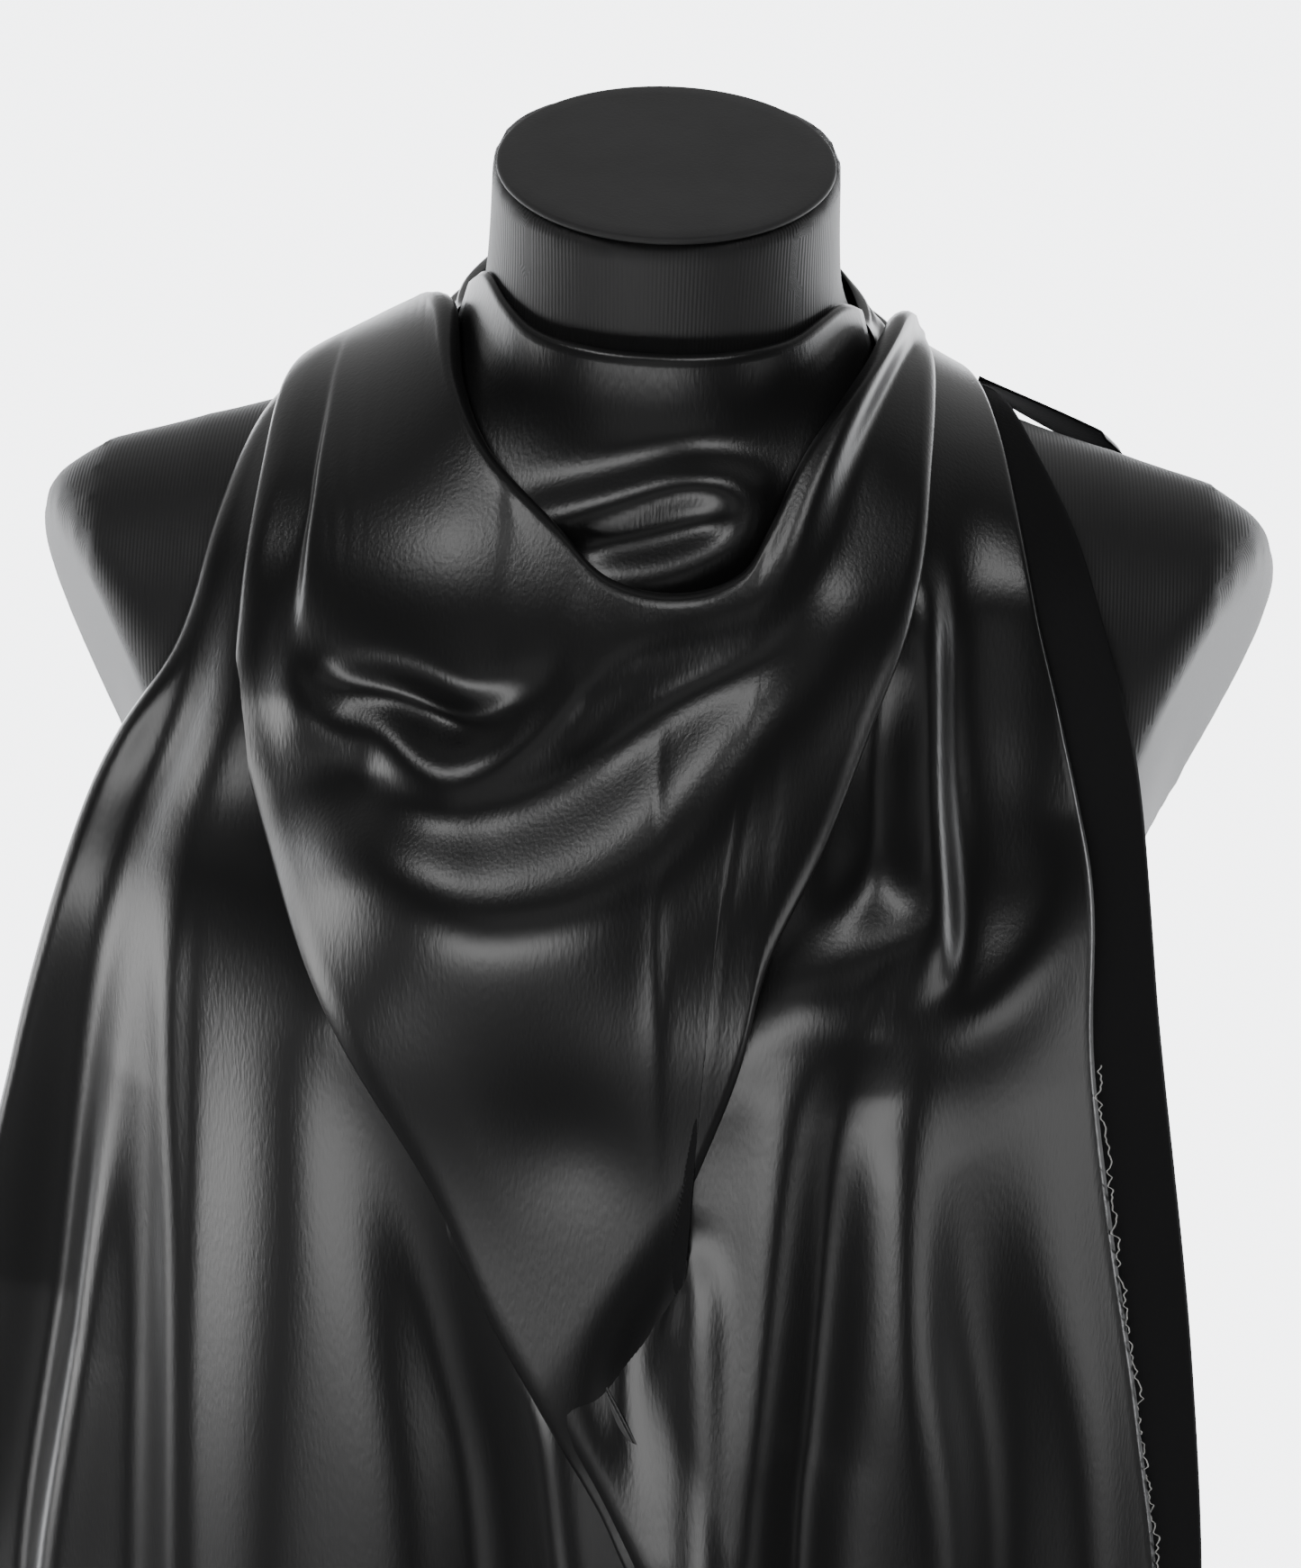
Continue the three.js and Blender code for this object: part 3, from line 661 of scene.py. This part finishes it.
class ClothBase:
    """Points and outward directions of the surface the cloth lies on."""

    def __init__(self, grid):
        across = np.gradient(grid, axis=1)
        up = np.gradient(grid, axis=0)
        out = np.cross(across, up)
        out /= np.linalg.norm(out, axis=2, keepdims=True)
        self.layers = np.concatenate((grid, blurred(blurred(out, 2.0, 0), 2.0, 1)), axis=2)

    def place(self, place, lift):
        column = np.clip((place[..., 0] - MAP_X[0]) / MAP_STEP, 0, len(MAP_X) - 1.001)
        row = np.clip(np.interp(place[..., 1], MAP_Q, np.arange(len(MAP_Q))), 0, len(MAP_Q) - 1.001)
        c, r = column.astype(int), row.astype(int)
        fc, fr = (column - c)[..., None], (row - r)[..., None]
        low = self.layers[r, c] * (1 - fc) + self.layers[r, c + 1] * fc
        high = self.layers[r + 1, c] * (1 - fc) + self.layers[r + 1, c + 1] * fc
        mixed = low * (1 - fr) + high * fr
        return mixed[..., :3] + mixed[..., 3:] * lift[..., None]


def between(first, last, along, across):
    """A grid of places between two edge curves."""
    a, b = resampled(first, along), resampled(last, along)
    t = np.linspace(0, 1, across)[None, :, None]
    return a[:, None, :] * (1 - t) + b[:, None, :] * t


def edge_distance(places):
    """How far each place of a grid is from its first and from its last column, along its row."""
    steps = np.hypot(*np.moveaxis(np.diff(places, axis=1), 2, 0))
    zero = np.zeros((len(places), 1))
    from_first = np.hstack((zero, np.cumsum(steps, axis=1)))
    return from_first, from_first[:, -1:] - from_first


def rounded_edge(distance, width, drop):
    t = np.clip(1 - distance / width, 0, 1)
    return -drop * (1 - np.sqrt(1 - t * t * 0.98))


def grid_mesh(name, points, flip=False):
    """A sheet through a grid of points. Its bright side faces the way its faces do."""
    if flip:
        points = points[:, ::-1]
    rows, columns = points.shape[:2]
    faces = []
    for r in range(rows - 1):
        for c in range(columns - 1):
            k = r * columns + c
            faces.append((k, k + 1, k + columns + 1, k + columns))
    world = points.reshape(-1, 3) * MM + np.array((0, POLE_Y, 0))
    return new_mesh(name, world.tolist(), faces)


def thicken(piece, thick):
    """Gives a sheet its thickness. The side behind it takes the piece's second material."""
    shell = piece.modifiers.new("Thick", "SOLIDIFY")
    shell.thickness = thick * MM
    shell.offset = 0
    shell.material_offset = 1
    apply_modifiers(piece)


# Lines are (across, map height); across grows towards the wearer's left arm. About a fifth of the points
# are places picked along edges and folds in the reference picture, turned into places on this map by a
# separate program, and rounded. Others began that way and were moved, or were given one by one.
SHIELD_LEFT = ((-108, 1426), (-122, 1396), (-128, 1368), (-131, 1324), (-135, 1283), (-136, 1250),
               (-127, 1216), (-108, 1178), (-86, 1133), (-65, 1087), (-47, 1037), (-29, 999), (-7, 955),
               (8, 920))
SHIELD_RIGHT = ((18, 925), (20, 1000), (15, 1070), (25, 1104), (37, 1145), (45, 1182), (60, 1218), (75, 1260),
                (88, 1300), (90, 1339), (90, 1388), (88, 1424))
COWL = ((-77, 1420), (-68, 1396), (-63, 1362), (-52, 1337), (-30, 1315), (-13, 1300), (10, 1296), (30, 1302),
        (39, 1318), (48, 1342), (64, 1376), (72, 1402), (79, 1418))
LEFT_OUTER = ((-122, 1428), (-132, 1400), (-136, 1370), (-148, 1310), (-160, 1266), (-179, 1229),
              (-194, 1187), (-222, 1092), (-250, 973), (-258, 800), (-262, 600), (-264, HEM))
LEFT_INNER = ((-84, 1424), (-66, 1350), (-50, 1200), (-20, 1050), (20, 950), (70, 800), (76, 600), (78, HEM))
RIGHT_INNER = ((82, 1424), (64, 1370), (45, 1270), (-10, 1170), (-60, 1088), (-43, 1037), (-26, 999),
               (-5, 955), (20, 890), (38, 800), (44, 640), (46, HEM))
SELVEDGE = ((102, 1430), (108, 1400), (116, 1354), (127, 1300), (140, 1254), (152, 1200), (159, 1127),
            (171, 1053), (188, 961), (205, 844), (210, 640), (212, HEM))
REVERSE_INNER = ((94, 1428), (99, 1400), (107, 1354), (119, 1300), (132, 1254), (143, 1200), (150, 1127),
                 (162, 1053), (178, 961), (193, 844), (198, 640), (200, HEM))
REVERSE_OUTER = ((114, 1432), (120, 1400), (130, 1354), (147, 1304), (169, 1234), (185, 1130), (207, 998),
                 (222, 880), (226, 800), (228, 640), (228, HEM))
NECK_TOP = ((-64, 1416), (-58, 1410), (-50, 1395), (-39, 1385), (-20, 1381), (3, 1380), (24, 1381),
            (42, 1385), (52, 1393), (60, 1404), (66, 1412))
NECK_BOTTOM = ((-78, 1340), (-72, 1310), (-58, 1284), (-30, 1272), (0, 1268), (30, 1272), (56, 1290),
               (70, 1320), (78, 1350))

SHIELD_SWAGS = (
    Fold(15, 18, (-112, 1236, 0), (-98, 1222, 6), (-80, 1210, 11), (-63, 1202, 14), (-46, 1199, 15),
         (-19, 1206, 14), (1, 1218, 13), (17, 1234, 12), (33, 1256, 11), (52, 1276, 10), (68, 1296, 6),
         (76, 1310, 0)),
    Fold(34, 50, (-100, 1230, 0), (-80, 1214, 12), (-50, 1202, 19), (-19, 1206, 20), (10, 1220, 15),
         (30, 1244, 8), (50, 1270, 0)),
)
SHIELD_FOLDS = (
    Fold(40, 9, (-124, 1277, 0), (-112, 1273, 4), (-93, 1276, 9), (-69, 1273, 12), (-48, 1268, 12),
         (-28, 1271, 11), (-12, 1279, 10), (4, 1290, 8), (24, 1299, 4), (40, 1310, 0)),
    Fold(6, 11, (-120, 1268, 0), (-112, 1259, 7), (-98, 1251, 9), (-82, 1250, 9), (-68, 1242, 10),
         (-54, 1241, 10), (-34, 1253, 8), (-18, 1267, 4), (-4, 1280, 0)),
    Fold(5, 5, (-104, 1265, 0), (-78, 1264, -7), (-56, 1259, -9), (-36, 1265, -6), (-20, 1274, 0)),
    Fold(9, 9, (-112, 1246, 0), (-90, 1236, -5), (-60, 1230, -6), (-30, 1240, -6), (0, 1258, -5),
         (24, 1278, -4), (50, 1304, 0)),
    Fold(7, 7, (80, 1425, 4), (70, 1392, 6), (57, 1350, 7), (46, 1318, 7), (37, 1300, 6), (20, 1288, 5),
         (-2, 1286, 3), (-24, 1296, 0)),
    Fold(5, 5, (84, 1420, -4), (78, 1390, -5), (66, 1352, -4), (54, 1316, 0)),
    Fold(20, 20, (-50, 1110, 0), (-20, 1120, -3), (4, 1128, 0)),
)
LEFT_FOLDS = (
    Fold(30, 30, (-132, 1396, 0), (-150, 1320, 9), (-170, 1235, 14), (-190, 1170, 15), (-215, 1090, 10),
         (-238, 980, 0)),
    Fold(13, 13, (-137, 1420, -2), (-141, 1350, -7), (-145, 1314, -10), (-164, 1220, -15), (-192, 1105, -18),
         (-226, 943, -20), (-243, 811, -18), (-246, 600, -14), (-246, HEM, -14)),
    Fold(10, 9, (-136, 1290, 0), (-138, 1249, 3), (-163, 1192, 6), (-184, 1110, 8), (-203, 973, 9),
         (-222, 818, 10), (-226, 600, 10), (-226, HEM, 10)),
    Fold(4, 6, (-150, 1210, 0), (-156, 1129, 3), (-159, 1014, 3.5), (-162, 871, 4), (-168, 600, 6),
         (-170, HEM, 6)),
    Fold(9, 9, (-176, 1100, 0), (-180, 1014, -4), (-186, 871, -6), (-196, 600, -10), (-198, HEM, -10)),
    Fold(24, 26, (-112, 1190, 0), (-114, 1151, 5), (-118, 1040, 10), (-122, 900, 13), (-124, 600, 15),
         (-124, HEM, 15)),
    Fold(15, 13, (-96, 1150, 0), (-82, 1100, -6), (-64, 1016, -13), (-50, 920, -17), (-44, 700, -18),
         (-42, HEM, -18)),
    Fold(4, 4, (-34, 1010, 0), (-27, 985, 4), (-22, 939, 5), (-14, 860, 6), (-8, 700, 8), (-6, HEM, 8)),
)
RIGHT_FOLDS = (
    Fold(5, 6, (90, 1310, 0), (93, 1285, 6), (95, 1233, 8), (100, 1190, 6), (103, 1168, 0)),
    Fold(11, 10, (100, 1350, 0), (105, 1300, -4), (111, 1240, -6), (114, 1200, -5), (110, 1160, 0)),
    Fold(9, 9, (84, 1280, 0), (80, 1250, -7), (80, 1215, -8), (72, 1188, -4), (60, 1170, 0)),
    Fold(9, 16, (38, 1142, 2), (54, 1168, 5), (70, 1181, 6), (86, 1186, 6), (98, 1168, 3), (112, 1160, 5),
         (126, 1171, 6), (138, 1189, 4), (146, 1220, 0)),
    Fold(10, 9, (80, 1156, 0), (77, 1138, -5), (74, 1110, -10), (72, 1062, -14), (69, 984, -16),
         (67, 928, -17), (70, 700, -19), (72, HEM, -19)),
    Fold(9, 9, (58, 1150, 0), (54, 1110, 4), (52, 1040, 6), (48, 930, 8), (48, 700, 9), (48, HEM, 9)),
    Fold(5, 5, (22, 1075, 0), (28, 1037, 5), (31, 926, 6), (34, 800, 4), (34, 700, 0)),
    Fold(7, 8, (20, 1085, 0), (10, 1050, -7), (2, 1008, -7), (8, 960, -3), (16, 930, 0)),
    Fold(12, 12, (82, 1130, 0), (90, 1090, 5), (99, 1019, 7), (116, 911, 8), (124, 700, 10), (126, HEM, 10)),
    Fold(12, 12, (112, 1100, 0), (122, 1040, -3), (140, 930, -6), (154, 700, -10), (156, HEM, -10)),
    Fold(14, 10, (140, 1120, 0), (150, 1040, 3), (170, 930, 6), (186, 700, 9), (188, HEM, 9)),
)
NECK_FOLDS = (
    Fold(6, 6, (-44, 1318, 2), (-34, 1320, 6), (-11, 1328, 8), (9, 1335, 9), (22, 1335, 9), (30, 1329, 8),
         (29, 1317, 7), (16, 1309, 7), (0, 1304, 7), (-18, 1303, 5), (-26, 1304, 0)),
    Fold(5, 5, (-50, 1300, 0), (-30, 1294, 4), (0, 1290, 5), (30, 1296, 0)),
)
TAIL_NEAR = ((110, 1412), (111, 1428), (111, 1448))
TAIL_FAR = ((158, 1404), (166, 1413), (156, 1428))
BAND_CENTRE = (0, 0, 1290)
BAND_LIFT = 7.5
FRAY_OUT = 0.9
FRAY_R = 0.28
MERGE = 915.0, 995.0       # map heights, at the left rim, between which the shield sinks into the right panel
MERGE_SLOPE = 1.8
ROLL_RADIUS = 4.0          # of the shield's rolled upper rim
ROLL_TURN = np.radians(np.array((180, 150, 120, 90, 60, 30)))


def panel_size(length, width):
    return int(length / STEP), int(width / STEP)


def neck_panel(base):
    places = between(NECK_TOP, NECK_BOTTOM, *panel_size(170, 120))
    top, _ = edge_distance(places)
    lift = 2.4 + folded(places, NECK_FOLDS) + rounded_edge(top, 2.5, 1.6)
    return grid_mesh("satin_neck", base.place(places, lift))


def left_panel(base):
    places = between(LEFT_OUTER, LEFT_INNER, *panel_size(1050, 330))
    outer, _ = edge_distance(places)
    lift = 4.0 + folded(places, LEFT_FOLDS) + rounded_edge(outer, 7, 6)
    return grid_mesh("satin_left", base.place(places, lift), flip=True)


def right_lift(places):
    edge = resampled(RIGHT_INNER, 200)[::-1]
    inside = places[..., 0] - np.interp(places[..., 1], edge[:, 1], edge[:, 0])
    rim = smooth_step(inside, 45, 12) * smooth_step(places[..., 1], 1190, 1110)
    return 5.0 + 5.0 * rim + folded(places, RIGHT_FOLDS)


def right_panel(base):
    places = between(RIGHT_INNER, SELVEDGE, *panel_size(1050, 200))
    inner, outer = edge_distance(places)
    low = smooth_step(places[..., 1], 1060, 990)
    lift = right_lift(places) + rounded_edge(inner, 9, 6) * low + rounded_edge(outer, 1.5, 1.2)
    return grid_mesh("satin_right", base.place(places, lift), flip=True)


def reverse_panel(base):
    places = between(REVERSE_INNER, REVERSE_OUTER, *panel_size(1050, 50))
    _, outer = edge_distance(places)
    lift = 1.6 + rounded_edge(outer, 2.5, 2.0) + folded(places, RIGHT_FOLDS[-3:])
    return grid_mesh("satin_reverse", base.place(places, lift), flip=True)


def rolled_rim(places, lift):
    """Adds a roll along the first column, with its end tucked in under the cloth."""
    inward = places[:, 0] - places[:, 1]
    inward /= np.linalg.norm(inward, axis=1, keepdims=True)
    curled = places[:, :1] + inward[:, None, :] * (ROLL_RADIUS * np.sin(ROLL_TURN))[None, :, None]
    curled_lift = lift[:, :1] - ROLL_RADIUS * (1 - np.cos(ROLL_TURN))[None, :]
    tucked = places[:, [8, 4]]
    tucked_lift = np.repeat(lift[:, :1] - 2 * ROLL_RADIUS - 1, 2, axis=1)
    all_places = np.concatenate((tucked, curled, places), axis=1)
    return all_places, np.concatenate((tucked_lift, curled_lift, lift), axis=1)


def shield_panel(base):
    places = between(COWL, SHIELD_LEFT + SHIELD_RIGHT, *panel_size(720, 240))
    _, outer = edge_distance(places)
    own = 11.5 + folded(places, SHIELD_SWAGS, 8.0) + folded(places, SHIELD_FOLDS, 3.5)
    own = own + rounded_edge(outer, 17, 4.0)
    under = right_lift(places) - 2.8
    sunk = smooth_step(places[..., 1] - MERGE_SLOPE * (places[..., 0] + 40), *MERGE)
    lift = under + (own - under) * sunk + rounded_edge(outer, 3.0, 2.4) * sunk
    return grid_mesh("satin_shield", base.place(*rolled_rim(places, lift)))


def tail_panel(base):
    places = between(TAIL_NEAR, TAIL_FAR, *panel_size(84, 66))
    _, far = edge_distance(places)
    wave = 1.2 * np.sin(places[..., 1] / 9.0 + places[..., 0] / 30.0)
    lift = 4.5 + wave + rounded_edge(far, 3, 2)
    return grid_mesh("satin_tail", base.place(places, lift), flip=True)


def band_panel(tree):
    """The gathered cloth round the back of the neck, from shoulder to shoulder."""
    along, across = panel_size(300, 96)
    turn = np.radians(np.linspace(-5, 185, along))
    share = np.linspace(0, 1, across)
    centre = np.array(BAND_CENTRE)
    start = Vector((centre * MM + (0, POLE_Y, 0)).tolist())
    points = np.zeros((along, across, 3))
    for i, angle in enumerate(turn):
        back = max(math.sin(angle), 0.0)
        top = 41 - 9 * back + 1.5 * math.sin(5 * angle)
        low = 62 + 3 * back + 2 * math.sin(4 * angle + 1)
        for j, v in enumerate(share):
            tilt = math.radians(top + (low - top) * v)
            aim = Vector((math.cos(angle) * math.sin(tilt), math.sin(angle) * math.sin(tilt), math.cos(tilt)))
            hit, normal = tree.ray_cast(start + aim * 0.5, -aim)[:2]
            gather = 2.6 * math.sin(2 * math.pi * (3.2 * v + 0.25 * math.sin(2.2 * angle)))
            gather += 1.2 * math.sin(2 * math.pi * (6.1 * v - 0.4 * math.sin(3.1 * angle)))
            edge = min(v, 1 - v) * (low - top) * 1.6
            round_off = float(rounded_edge(np.array(edge), 5.0, 3.0))
            lift = BAND_LIFT * (0.55 + 0.45 * back) + gather * (0.25 + 0.75 * back) + round_off
            points[i, j] = np.array(hit) / MM - (0, POLE_Y / MM, 0) + np.array(normal) * lift
    smooth = blurred(blurred(points, 0.8, 0), 0.6, 1)
    return grid_mesh("satin_band", smooth)


def satin_material():
    """Glossy black satin: a soft bright face with a very fine weave across it."""
    shader = Shader("satin")
    shader.set(Base_Color=(*grey(0.006), 1), Roughness=0.31, Specular_IOR_Level=0.42)
    weave = shader.noise(900, detail=1.0, stretch=(1, 1, 0.25))
    shader.bump(weave, 0.12, 0.0006)
    return shader.material


def back_material():
    """The dull reverse of the same cloth."""
    shader = Shader("satin_reverse")
    shader.set(Base_Color=(*grey(0.012), 1), Roughness=0.8, IOR=1.05)
    weave = shader.noise(700, detail=2.0, stretch=(1, 1, 0.5))
    shader.bump(weave, 0.3, 0.0008)
    return shader.material


def thread_material():
    return Shader("thread").set(Base_Color=(0.32, 0.32, 0.31, 1), Roughness=0.8).material


def fray(base):
    """Loose pale threads that curl along the lower part of the selvedge."""
    rng = np.random.default_rng(7)
    line = resampled([place for place in SELVEDGE if place[1] < 1160], 900)
    sideways = FRAY_OUT + 0.7 * blurred(rng.normal(0, 2.4, len(line)), 1.3, 0)
    lift = 6.0 + 0.5 * blurred(rng.normal(0, 2.0, len(line)), 1.3, 0)
    places = line + np.stack((sideways, np.zeros(len(line))), axis=1)
    centre = base.place(places[None], lift[None])[0]
    turn = np.radians(np.arange(0, 360, 90))
    round_x, round_y = np.cos(turn) * FRAY_R, np.sin(turn) * FRAY_R
    rings = centre[:, None, :] + np.stack((round_x, round_y, np.zeros(4)), axis=1)[None]
    closed = np.concatenate((rings, rings[:, :1]), axis=1)
    return grid_mesh("satin_fray", closed)


def joined(name, pieces):
    bpy.ops.object.select_all(action="DESELECT")
    for piece in pieces:
        piece.select_set(True)
    bpy.context.view_layer.objects.active = pieces[0]
    bpy.ops.object.join()
    pieces[0].name = name
    pieces[0].data.name = name
    return pieces[0]


def finished(panel, face, back):
    panel.data.materials.append(face)
    panel.data.materials.append(back)
    thicken(panel, CLOTH_THICK)
    return panel


def make_satin(base, tree):
    face, back = satin_material(), back_material()
    panels = [maker(base) for maker in (left_panel, right_panel, shield_panel, neck_panel)]
    panels = [finished(panel, face, back) for panel in panels + [band_panel(tree)]]
    panels += [finished(panel, back, face) for panel in (reverse_panel(base), tail_panel(base))]
    thread = fray(base)
    thread.data.materials.append(thread_material())
    satin = joined("satin", panels + [thread])
    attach(satin, "torso")
    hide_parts("satin_drape")
    return satin


# ---------------------------------------------------------------- torso

SHELL_IN = 2.6
SHELL_WALL = 3.2
CAP_LOW = 2.1
RIB_PITCH = 1.3


def make_shell(jersey):
    """The moulded shell: the same form, set in under the jersey and given a wall."""
    shell = bpy.data.objects.new("moulded_shell", jersey.data.copy())
    bpy.context.scene.collection.objects.link(shell)
    mesh = shell.data
    normals = np.empty(len(mesh.vertices) * 3)
    mesh.vertices.foreach_get("normal", normals)
    points = coordinates(mesh) - normals.reshape(-1, 3) * SHELL_IN * MM
    set_coordinates(mesh, points)
    wall = shell.modifiers.new("Wall", "SOLIDIFY")
    wall.thickness = SHELL_WALL * MM
    wall.offset = -1
    return apply_modifiers(shell)


def make_cap():
    """The neck's cap: a thin turned disc with a rolled rim and a shallow step inside it."""
    base = CAP_LOW
    cap = turned("cap", [
        (0, base), (50.0, base), (50.0, base + 0.4), (54.6, base), (56.6, base + 0.3), (57.3, base + 1.0),
        (57.3, base + 1.7), (56.7, base + 2.3), (55.6, base + 2.6), (50.0, base + 2.65), (30.0, base + 2.7),
        (10.0, base + 2.7), (0, base + 2.7)], sides=160)
    tilt = Matrix.Rotation(NECK_TILT, 4, "X")
    where = Matrix.Translation(Vector(NECK_POINT) + Vector((0, POLE_Y / MM, 0)))
    cap.data.transform(Matrix.Scale(MM, 4) @ where @ tilt)
    cap.data.materials.append(cap_material())
    return cap


def drawn_in(node, factor):
    """A copy of a CAD node's mesh, drawn in towards its middle across its face."""
    low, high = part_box(node)
    middle = np.array((low + high) / 2)
    copy = bpy.data.objects.new(node + "_look", outer_skin(node))
    bpy.context.scene.collection.objects.link(copy)
    set_coordinates(copy.data, middle + (coordinates(copy.data) - middle) * factor)
    return copy


# ---------------------------------------------------------------- finishes of the other pieces


def mark_ribs(jersey):
    """Stores how far round the form each point is, so that the knitted ribs run down it."""
    mesh = jersey.data
    normals = np.empty(len(mesh.vertices) * 3)
    mesh.vertices.foreach_get("normal", normals)
    normals = normals.reshape(-1, 3)
    p = coordinates(mesh) / MM - (0, POLE_Y / MM, 0)
    round_neck = 57 * np.arctan2(p[:, 0], np.abs(p[:, 1] + 4) + 1e-6)
    rib = p[:, 0] + (round_neck - p[:, 0]) * smooth_step(p[:, 2], 1325, 1365)
    rib = np.where(np.abs(normals[:, 0]) > 0.75, p[:, 1], rib)
    layer = mesh.attributes.new("rib", "FLOAT", "POINT")
    layer.data.foreach_set("value", rib.astype(np.float32))


def jersey_material():
    shader = Shader("jersey_black")
    shader.set(Base_Color=(*grey(0.012), 1), Roughness=0.52, Specular_IOR_Level=0.25)
    shader.set(Sheen_Weight=0.08, Sheen_Roughness=0.4, Sheen_Tint=(0.5, 0.5, 0.52, 1))
    attribute = shader.node("ShaderNodeAttribute", attribute_name="rib")
    ribs = shader.math("SINE", shader.math("MULTIPLY", attribute.outputs["Fac"], 2 * math.pi / RIB_PITCH))
    loops = shader.noise(1400, detail=1.0)
    height = shader.math("ADD", ribs, shader.math("MULTIPLY", loops, 0.8))
    shader.bump(height, 0.14, 0.0003)
    return shader.material


def cap_material():
    """Sprayed black with faint scuffs."""
    shader = Shader("cap_black")
    scuffs = shader.noise(38, detail=6.0, roughness=0.65)
    tone = shader.ramp(scuffs, ((0.3, grey(0.011)), (0.7, grey(0.018))))
    shader.link(tone, shader.bsdf.inputs["Base Color"])
    shader.set(Roughness=0.6, Specular_IOR_Level=0.35)
    shader.bump(shader.noise(900, detail=2.0), 0.15, 0.0005)
    return shader.material


def plain(name, tone, roughness, metallic=0.0, grain=600, depth=0.12):
    """A plain finish with a fine grain."""
    shader = Shader(name).set(Base_Color=(*tone, 1), Roughness=roughness, Metallic=metallic)
    shader.bump(shader.noise(grain, detail=3.0), depth, 0.0005)
    return shader.material


def plywood_material():
    shader = Shader("plywood")
    grain = shader.noise(14, detail=5.0, stretch=(1, 9, 30))
    tone = shader.ramp(grain, ((0.3, (0.33, 0.2, 0.1)), (0.7, (0.5, 0.34, 0.19))))
    shader.link(tone, shader.bsdf.inputs["Base Color"])
    shader.set(Roughness=0.6)
    shader.bump(grain, 0.15, 0.0006)
    return shader.material


def numbered(stem, last):
    return [f"{stem}_{i}" for i in range(1, last + 1)]


def paint_nodes():
    legs = [name for stem in ("leg", "strut") for name in numbered(stem, 3)]
    pins = [name for stem in ("leg_pin", "strut_pin", "collar_pin") for name in numbered(stem, 3)]
    finishes = (
        (plain("stand_black", grey(0.02), 0.42), ["column_tube", "leg_hub", "pole_socket"] + legs),
        (plain("chrome", (0.72, 0.72, 0.74), 0.12, 1.0, 200, 0.03), ["inner_pole"]),
        (plain("zinc", (0.52, 0.52, 0.54), 0.34, 1.0),
         numbered("flange_screw", 4) + numbered("drape_pin", 2) + pins),
        (plain("rubber", grey(0.012), 0.88, 0.0, 400, 0.3), numbered("foot", 3)),
        (plain("knob_plastic", grey(0.016), 0.38, 0.0, 900, 0.2),
         ["pole_glide", "column_end_cap", "height_clamp", "height_knob", "torso_lock_knob", "slide_collar",
          "collar_knob"]),
        (plywood_material(), ["base_board", "neck_board"]),
    )
    for material, names in finishes:
        for name in names:
            mesh = nodes[name].data
            mesh.materials.clear()
            mesh.materials.append(material)


jersey = make_jersey()
mark_ribs(jersey)
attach(jersey, "torso")
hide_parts("jersey_cover")

tree = form_tree(jersey)
base = cloth_map(tree)
satin = make_satin(ClothBase(base), tree)

shell = make_shell(jersey)
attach(shell, "torso")
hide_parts("torso_shell")
plywood = plywood_material()
for side in ("left", "right"):
    board = drawn_in("arm_board_" + side, 0.9)
    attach(board, "torso")
    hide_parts("arm_board_" + side)
    board.data.materials.clear()
    board.data.materials.append(plywood)

cap = make_cap()
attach(cap, "torso")
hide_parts("neck_cap")

make_camera()
make_lights()
make_world()
make_floor()

jersey.data.materials.clear()
jersey.data.materials.append(jersey_material())
shell.data.materials.clear()
shell.data.materials.append(plain("moulded", grey(0.03), 0.6))
paint_nodes()
